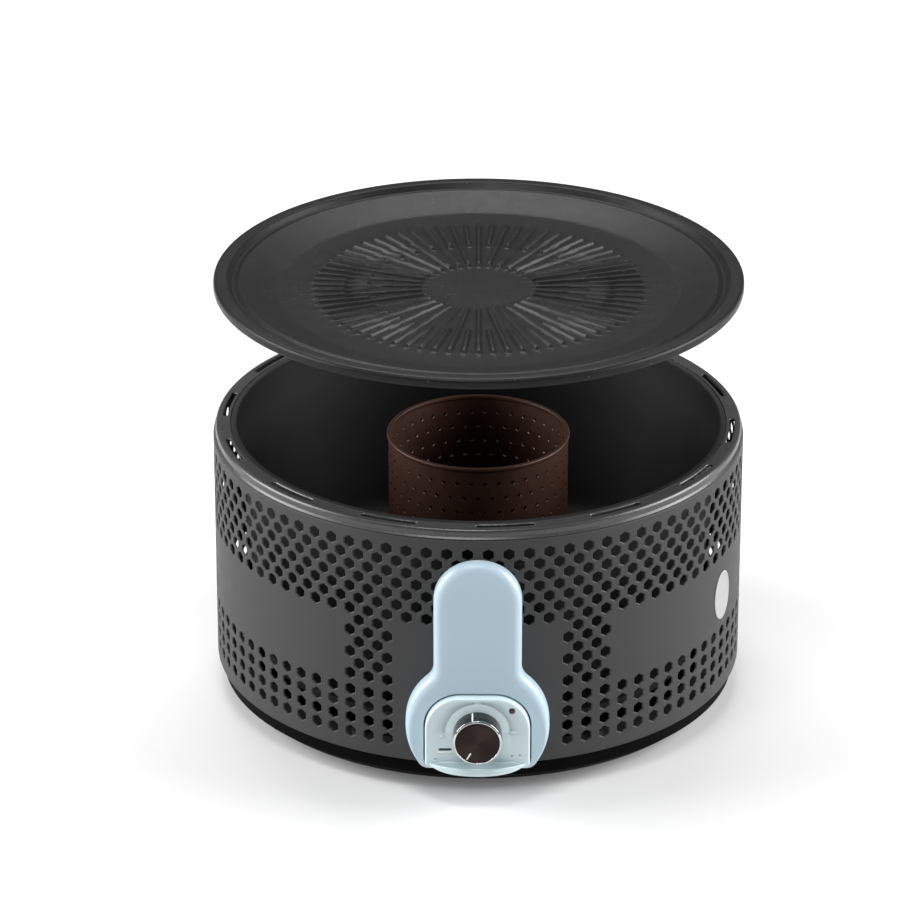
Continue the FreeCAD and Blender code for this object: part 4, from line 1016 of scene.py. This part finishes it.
def finish(name, colour, rough, metallic=0.0, coat=0.0, grain=(900.0, 0.1), mottle=(25.0, 0.12),
           rough_spread=0.08, stretch=(1.0, 1.0, 1.0), shine=0.5):
    """A material with slow colour mottling, uneven roughness and a fine grain in relief."""
    made, shader, where = new_material(name)
    mapping = new_node(made, "ShaderNodeMapping", {"Scale": stretch, "Vector": where})

    def noise(scale, detail):
        inputs = {"Scale": scale, "Detail": detail, "Vector": mapping.outputs["Vector"]}
        return new_node(made, "ShaderNodeTexNoise", inputs).outputs["Fac"]

    tone = new_node(made, "ShaderNodeMix", {}, data_type="RGBA")
    connect(made, tone, {"A": shaded(colour, 1 - mottle[1]), "B": shaded(colour, 1 + mottle[1]),
                         "Factor": noise(mottle[0], 4.0)})
    uneven = new_node(made, "ShaderNodeMapRange", {
        "To Min": max(0.02, rough - rough_spread), "To Max": rough + rough_spread,
        "Value": noise(mottle[0] * 6, 3.0)})
    relief = new_node(made, "ShaderNodeBump", {
        "Strength": grain[1], "Distance": GRAIN_DEPTH, "Height": noise(grain[0], 3.0)})
    connect(made, shader, {
        "Metallic": metallic, "Specular IOR Level": shine, "Coat Weight": coat,
        "Coat Roughness": 0.08, "Base Color": tone.outputs["Result"],
        "Roughness": uneven.outputs["Result"], "Normal": relief.outputs["Normal"]})
    return made


def speckled_coating(name):
    """Black non-stick coating: a fine stipple and sparse pale specks."""
    made = finish(name, (0.010, 0.010, 0.0103), 0.36, grain=(1400.0, 0.3), mottle=(18.0, 0.2),
                  shine=0.17)
    shader = made.node_tree.nodes["Principled BSDF"]
    where = made.node_tree.nodes["Texture Coordinate"].outputs["Object"]
    cells = new_node(made, "ShaderNodeTexVoronoi", {"Scale": 260.0, "Vector": where})
    near = new_node(made, "ShaderNodeMapRange", {
        "From Min": 0.07, "From Max": 0.14, "To Min": 1.0, "To Max": 0.0,
        "Value": cells.outputs["Distance"]})
    split = new_node(made, "ShaderNodeSeparateColor", {"Color": cells.outputs["Color"]})
    some = new_node(made, "ShaderNodeMath", {0: split.outputs["Red"], 1: 0.78},
                    operation="GREATER_THAN")
    both = new_node(made, "ShaderNodeMath", {0: near.outputs["Result"], 1: some.outputs["Value"]},
                    operation="MULTIPLY")
    specks = new_node(made, "ShaderNodeMix", {}, data_type="RGBA")
    connect(made, specks, {"A": shader.inputs["Base Color"].links[0].from_socket,
                           "B": (0.10, 0.10, 0.098, 1.0), "Factor": both.outputs["Value"]})
    connect(made, shader, {"Base Color": specks.outputs["Result"]})
    return made


def spun_metal(name, colour):
    """Fine turned rings about the knob's axis in relief, with painted highlight and shade: the
    colour runs lighter and darker in sectors round the axis, as turned rings throw light.
    """
    made, shader, where = new_material(name)
    centre = new_node(made, "ShaderNodeVectorMath",
                      {0: where, 1: (0.0, KNOB_FRONT * MM, KNOB_Z * MM)}, operation="SUBTRACT")
    parts = new_node(made, "ShaderNodeSeparateXYZ", {"Vector": centre.outputs["Vector"]})
    turn = new_node(made, "ShaderNodeMath", {0: parts.outputs["Z"], 1: parts.outputs["X"]},
                    operation="ARCTAN2")
    # Painted highlight and shade: two bright and two dark sectors round the axis, taken from the
    # angle, lighten and darken the colour.
    twice = new_node(made, "ShaderNodeMath", {0: turn.outputs["Value"], 1: 2.0, 2: -0.6},
                     operation="MULTIPLY_ADD")
    painted_highlight_fans = new_node(made, "ShaderNodeMath", {0: twice.outputs["Value"]}, operation="SINE")
    ramp = new_node(made, "ShaderNodeMapRange", {"From Min": -1.0, "Value": painted_highlight_fans.outputs["Value"]})
    tone = new_node(made, "ShaderNodeMix", {}, data_type="RGBA")
    connect(made, tone, {"A": shaded(colour, 0.75), "B": shaded(colour, 1.7),
                         "Factor": ramp.outputs["Result"]})
    rings = new_node(made, "ShaderNodeTexWave", {
        "Scale": 900.0, "Distortion": 0.4, "Vector": centre.outputs["Vector"]},
        wave_type="RINGS", rings_direction="Y")
    relief = new_node(made, "ShaderNodeBump", {
        "Strength": 0.25, "Distance": 0.0002, "Height": rings.outputs["Fac"]})
    connect(made, shader, {
        "Metallic": 0.75, "Roughness": 0.38, "Base Color": tone.outputs["Result"],
        "Normal": relief.outputs["Normal"]})
    return made


finish("drum_paint", (0.05, 0.05, 0.0505), 0.5, grain=(2600.0, 0.14), mottle=(14.0, 0.05),
       shine=0.16)
finish("ring_paint", (0.038, 0.038, 0.0385), 0.28, grain=(2600.0, 0.12), mottle=(14.0, 0.06),
       shine=0.6)
finish("base_black", (0.003, 0.003, 0.0032), 0.6, grain=(1500.0, 0.2), shine=0.03)
finish("foot_rubber", (0.02, 0.02, 0.02), 0.8, grain=(1500.0, 0.4))
finish("screw_steel", (0.55, 0.55, 0.56), 0.32, 1.0, stretch=STEEL_STRETCH)
# Much darker than bare steel: painted shade for the drum's inside, seen through its holes.
finish("shield_steel", (0.10, 0.098, 0.095), 0.5, 0.8, mottle=(9.0, 0.3))
finish("fan_black", (0.02, 0.02, 0.021), 0.5, grain=(1500.0, 0.25))
finish("motor_steel", (0.45, 0.45, 0.46), 0.3, 1.0, stretch=STEEL_STRETCH)
finish("duct_steel", (0.42, 0.42, 0.42), 0.35, 1.0, mottle=(12.0, 0.2))
finish("bowl_enamel", (0.014, 0.014, 0.0144), 0.5, grain=(1800.0, 0.22), mottle=(10.0, 0.12),
       shine=0.25)
finish("tray_steel", (0.34, 0.33, 0.32), 0.4, 1.0, mottle=(30.0, 0.25))
# The basket's red-brown is partly its own dark bronze-brown and partly painted glow of light from
# the burning charcoal.
finish("basket_steel", (0.06, 0.024, 0.015), 0.5, 0.45, mottle=(22.0, 0.4), grain=(900.0, 0.3))
speckled_coating("plate_coating")
finish("cover_blue", (0.43, 0.55, 0.635), 0.36, coat=0.06, grain=(1200.0, 0.015),
       mottle=(8.0, 0.03), rough_spread=0.03)
finish("control_pale", (0.60, 0.73, 0.765), 0.26, coat=0.4, grain=(1600.0, 0.04),
       mottle=(10.0, 0.03), rough_spread=0.03)
finish("board_green", (0.02, 0.13, 0.05), 0.4, coat=0.4, mottle=(90.0, 0.3))
finish("pot_metal", (0.5, 0.5, 0.5), 0.35, 1.0, stretch=STEEL_STRETCH)
finish("knob_black", (0.004, 0.004, 0.005), 0.2, coat=0.12, grain=(1500.0, 0.03),
       rough_spread=0.04, shine=0.4)
finish("knob_bright", (0.62, 0.63, 0.65), 0.12, 1.0, grain=(1500.0, 0.02), mottle=(40.0, 0.04),
       rough_spread=0.03)
spun_metal("knob_spun", (0.02, 0.0115, 0.0095))
# White for the knob's pointer, and for two painted highlights: the line across the knob's side and
# the edge under the port.
finish("mark_white", (0.82, 0.82, 0.8), 0.4, grain=(1500.0, 0.05))
finish("lens_red", (0.045, 0.002, 0.006), 0.1, coat=0.3, grain=(600.0, 0.02))
finish("port_metal", (0.02, 0.02, 0.021), 0.45, 0.6, grain=(1500.0, 0.1))
finish("holder_black", (0.02, 0.02, 0.02), 0.5, grain=(1500.0, 0.25))
finish("cell_sleeve", (0.03, 0.2, 0.36), 0.3, coat=0.4)
finish("lead_red", (0.4, 0.015, 0.015), 0.5)
finish("badge_grey", (0.46, 0.46, 0.46), 0.34, 0.6, grain=(1500.0, 0.08))


def dress_cad_nodes():
    for part in frame["record"]["subparts"]:
        node = frame["nodes"][part["node"]]
        for place in node.material_slots:
            place.material = finishes[part["material_slot"]]


# ---- stage ----
CAMERA_DISTANCE = 3.183
CAMERA_ELEVATION = math.radians(25.75)
CAMERA_LENS = 190.2
TARGET_Z = 0.090
AIM_LEFT = 0.0189
AIM_UP = 0.0674
SENSOR_W = 36.0
SKY_STRENGTH = 0.15
FLOOR_GLOW = 0.10
FLOOR_REACH = 6.0
FLOOR_DROP = 0.0005
LIGHTS = (("left_box", (-2.6, 0.1, 1.3), (0, 0, 0.12), (2.0, 1.8), 120),
          ("right_box", (2.6, 0.1, 1.3), (0, 0, 0.12), (2.0, 1.8), 130),
          ("top_box", (-0.3, -1.0, 2.6), (0, 0, 0.15), (1.1, 0.5), 26),
          ("rear_box", (-0.2, 1.6, 2.5), (0, 0, 0.2), (1.8, 0.9), 42))


def camera():
    lens = bpy.data.cameras.new("camera")
    lens.lens = CAMERA_LENS
    lens.sensor_width = SENSOR_W
    lens.clip_end = 50.0
    view = bpy.data.objects.new("camera", lens)
    bpy.context.scene.collection.objects.link(view)
    back = Vector((0, -math.cos(CAMERA_ELEVATION), math.sin(CAMERA_ELEVATION)))
    up = Vector((0, math.sin(CAMERA_ELEVATION), math.cos(CAMERA_ELEVATION)))
    target = Vector((0, 0, TARGET_Z))
    view.location = target + back * CAMERA_DISTANCE
    aim = target + up * AIM_UP + Vector((-AIM_LEFT, 0, 0))
    view.rotation_euler = (aim - view.location).to_track_quat("-Z", "Y").to_euler()
    bpy.context.scene.camera = view


def area_light(name, place, aim, size, power):
    light = bpy.data.lights.new(name, "AREA")
    light.shape = "RECTANGLE"
    light.size, light.size_y = size
    light.energy = power
    lamp = bpy.data.objects.new(name, light)
    bpy.context.scene.collection.objects.link(lamp)
    lamp.location = place
    lamp.rotation_euler = (Vector(aim) - Vector(place)).to_track_quat("-Z", "Y").to_euler()


def floor_finish():
    made = finish("floor_white", (0.62, 0.62, 0.62), 0.7, grain=(200.0, 0.0),
                  mottle=(2.0, 0.005), shine=0.1)
    connect(made, made.node_tree.nodes["Principled BSDF"],
            {"Emission Color": (1.0, 1.0, 1.0, 1.0), "Emission Strength": FLOOR_GLOW})
    return made


def stage():
    """A wide white floor, a pale sky and four area lights."""
    corners = [(FLOOR_REACH * x, FLOOR_REACH * y, -FLOOR_DROP)
               for x, y in ((-1, -1), (1, -1), (1, 1), (-1, 1))]
    mesh = bpy.data.meshes.new("floor")
    mesh.from_pydata(corners, [], [(0, 1, 2, 3)])
    plane = bpy.data.objects.new("floor", mesh)
    bpy.context.scene.collection.objects.link(plane)
    mesh.materials.append(floor_finish())
    world = bpy.data.worlds.new("studio")
    world.use_nodes = True
    sky = world.node_tree.nodes["Background"]
    sky.inputs["Color"].default_value = (1.0, 1.0, 1.0, 1.0)
    sky.inputs["Strength"].default_value = SKY_STRENGTH
    bpy.context.scene.world = world
    bpy.context.scene.view_settings.view_transform = "Standard"
    for light in LIGHTS:
        area_light(*light)


dress_cad_nodes()
drum_shell()
top_ring()
bowl()
basket()
grill_plate()
front_cover()
control_plate()
control_shelf()
dial_marks()
port_painted_highlight()
lamp_lens()
knob()
knob_pointer_and_highlight()
badge()
camera()
stage()
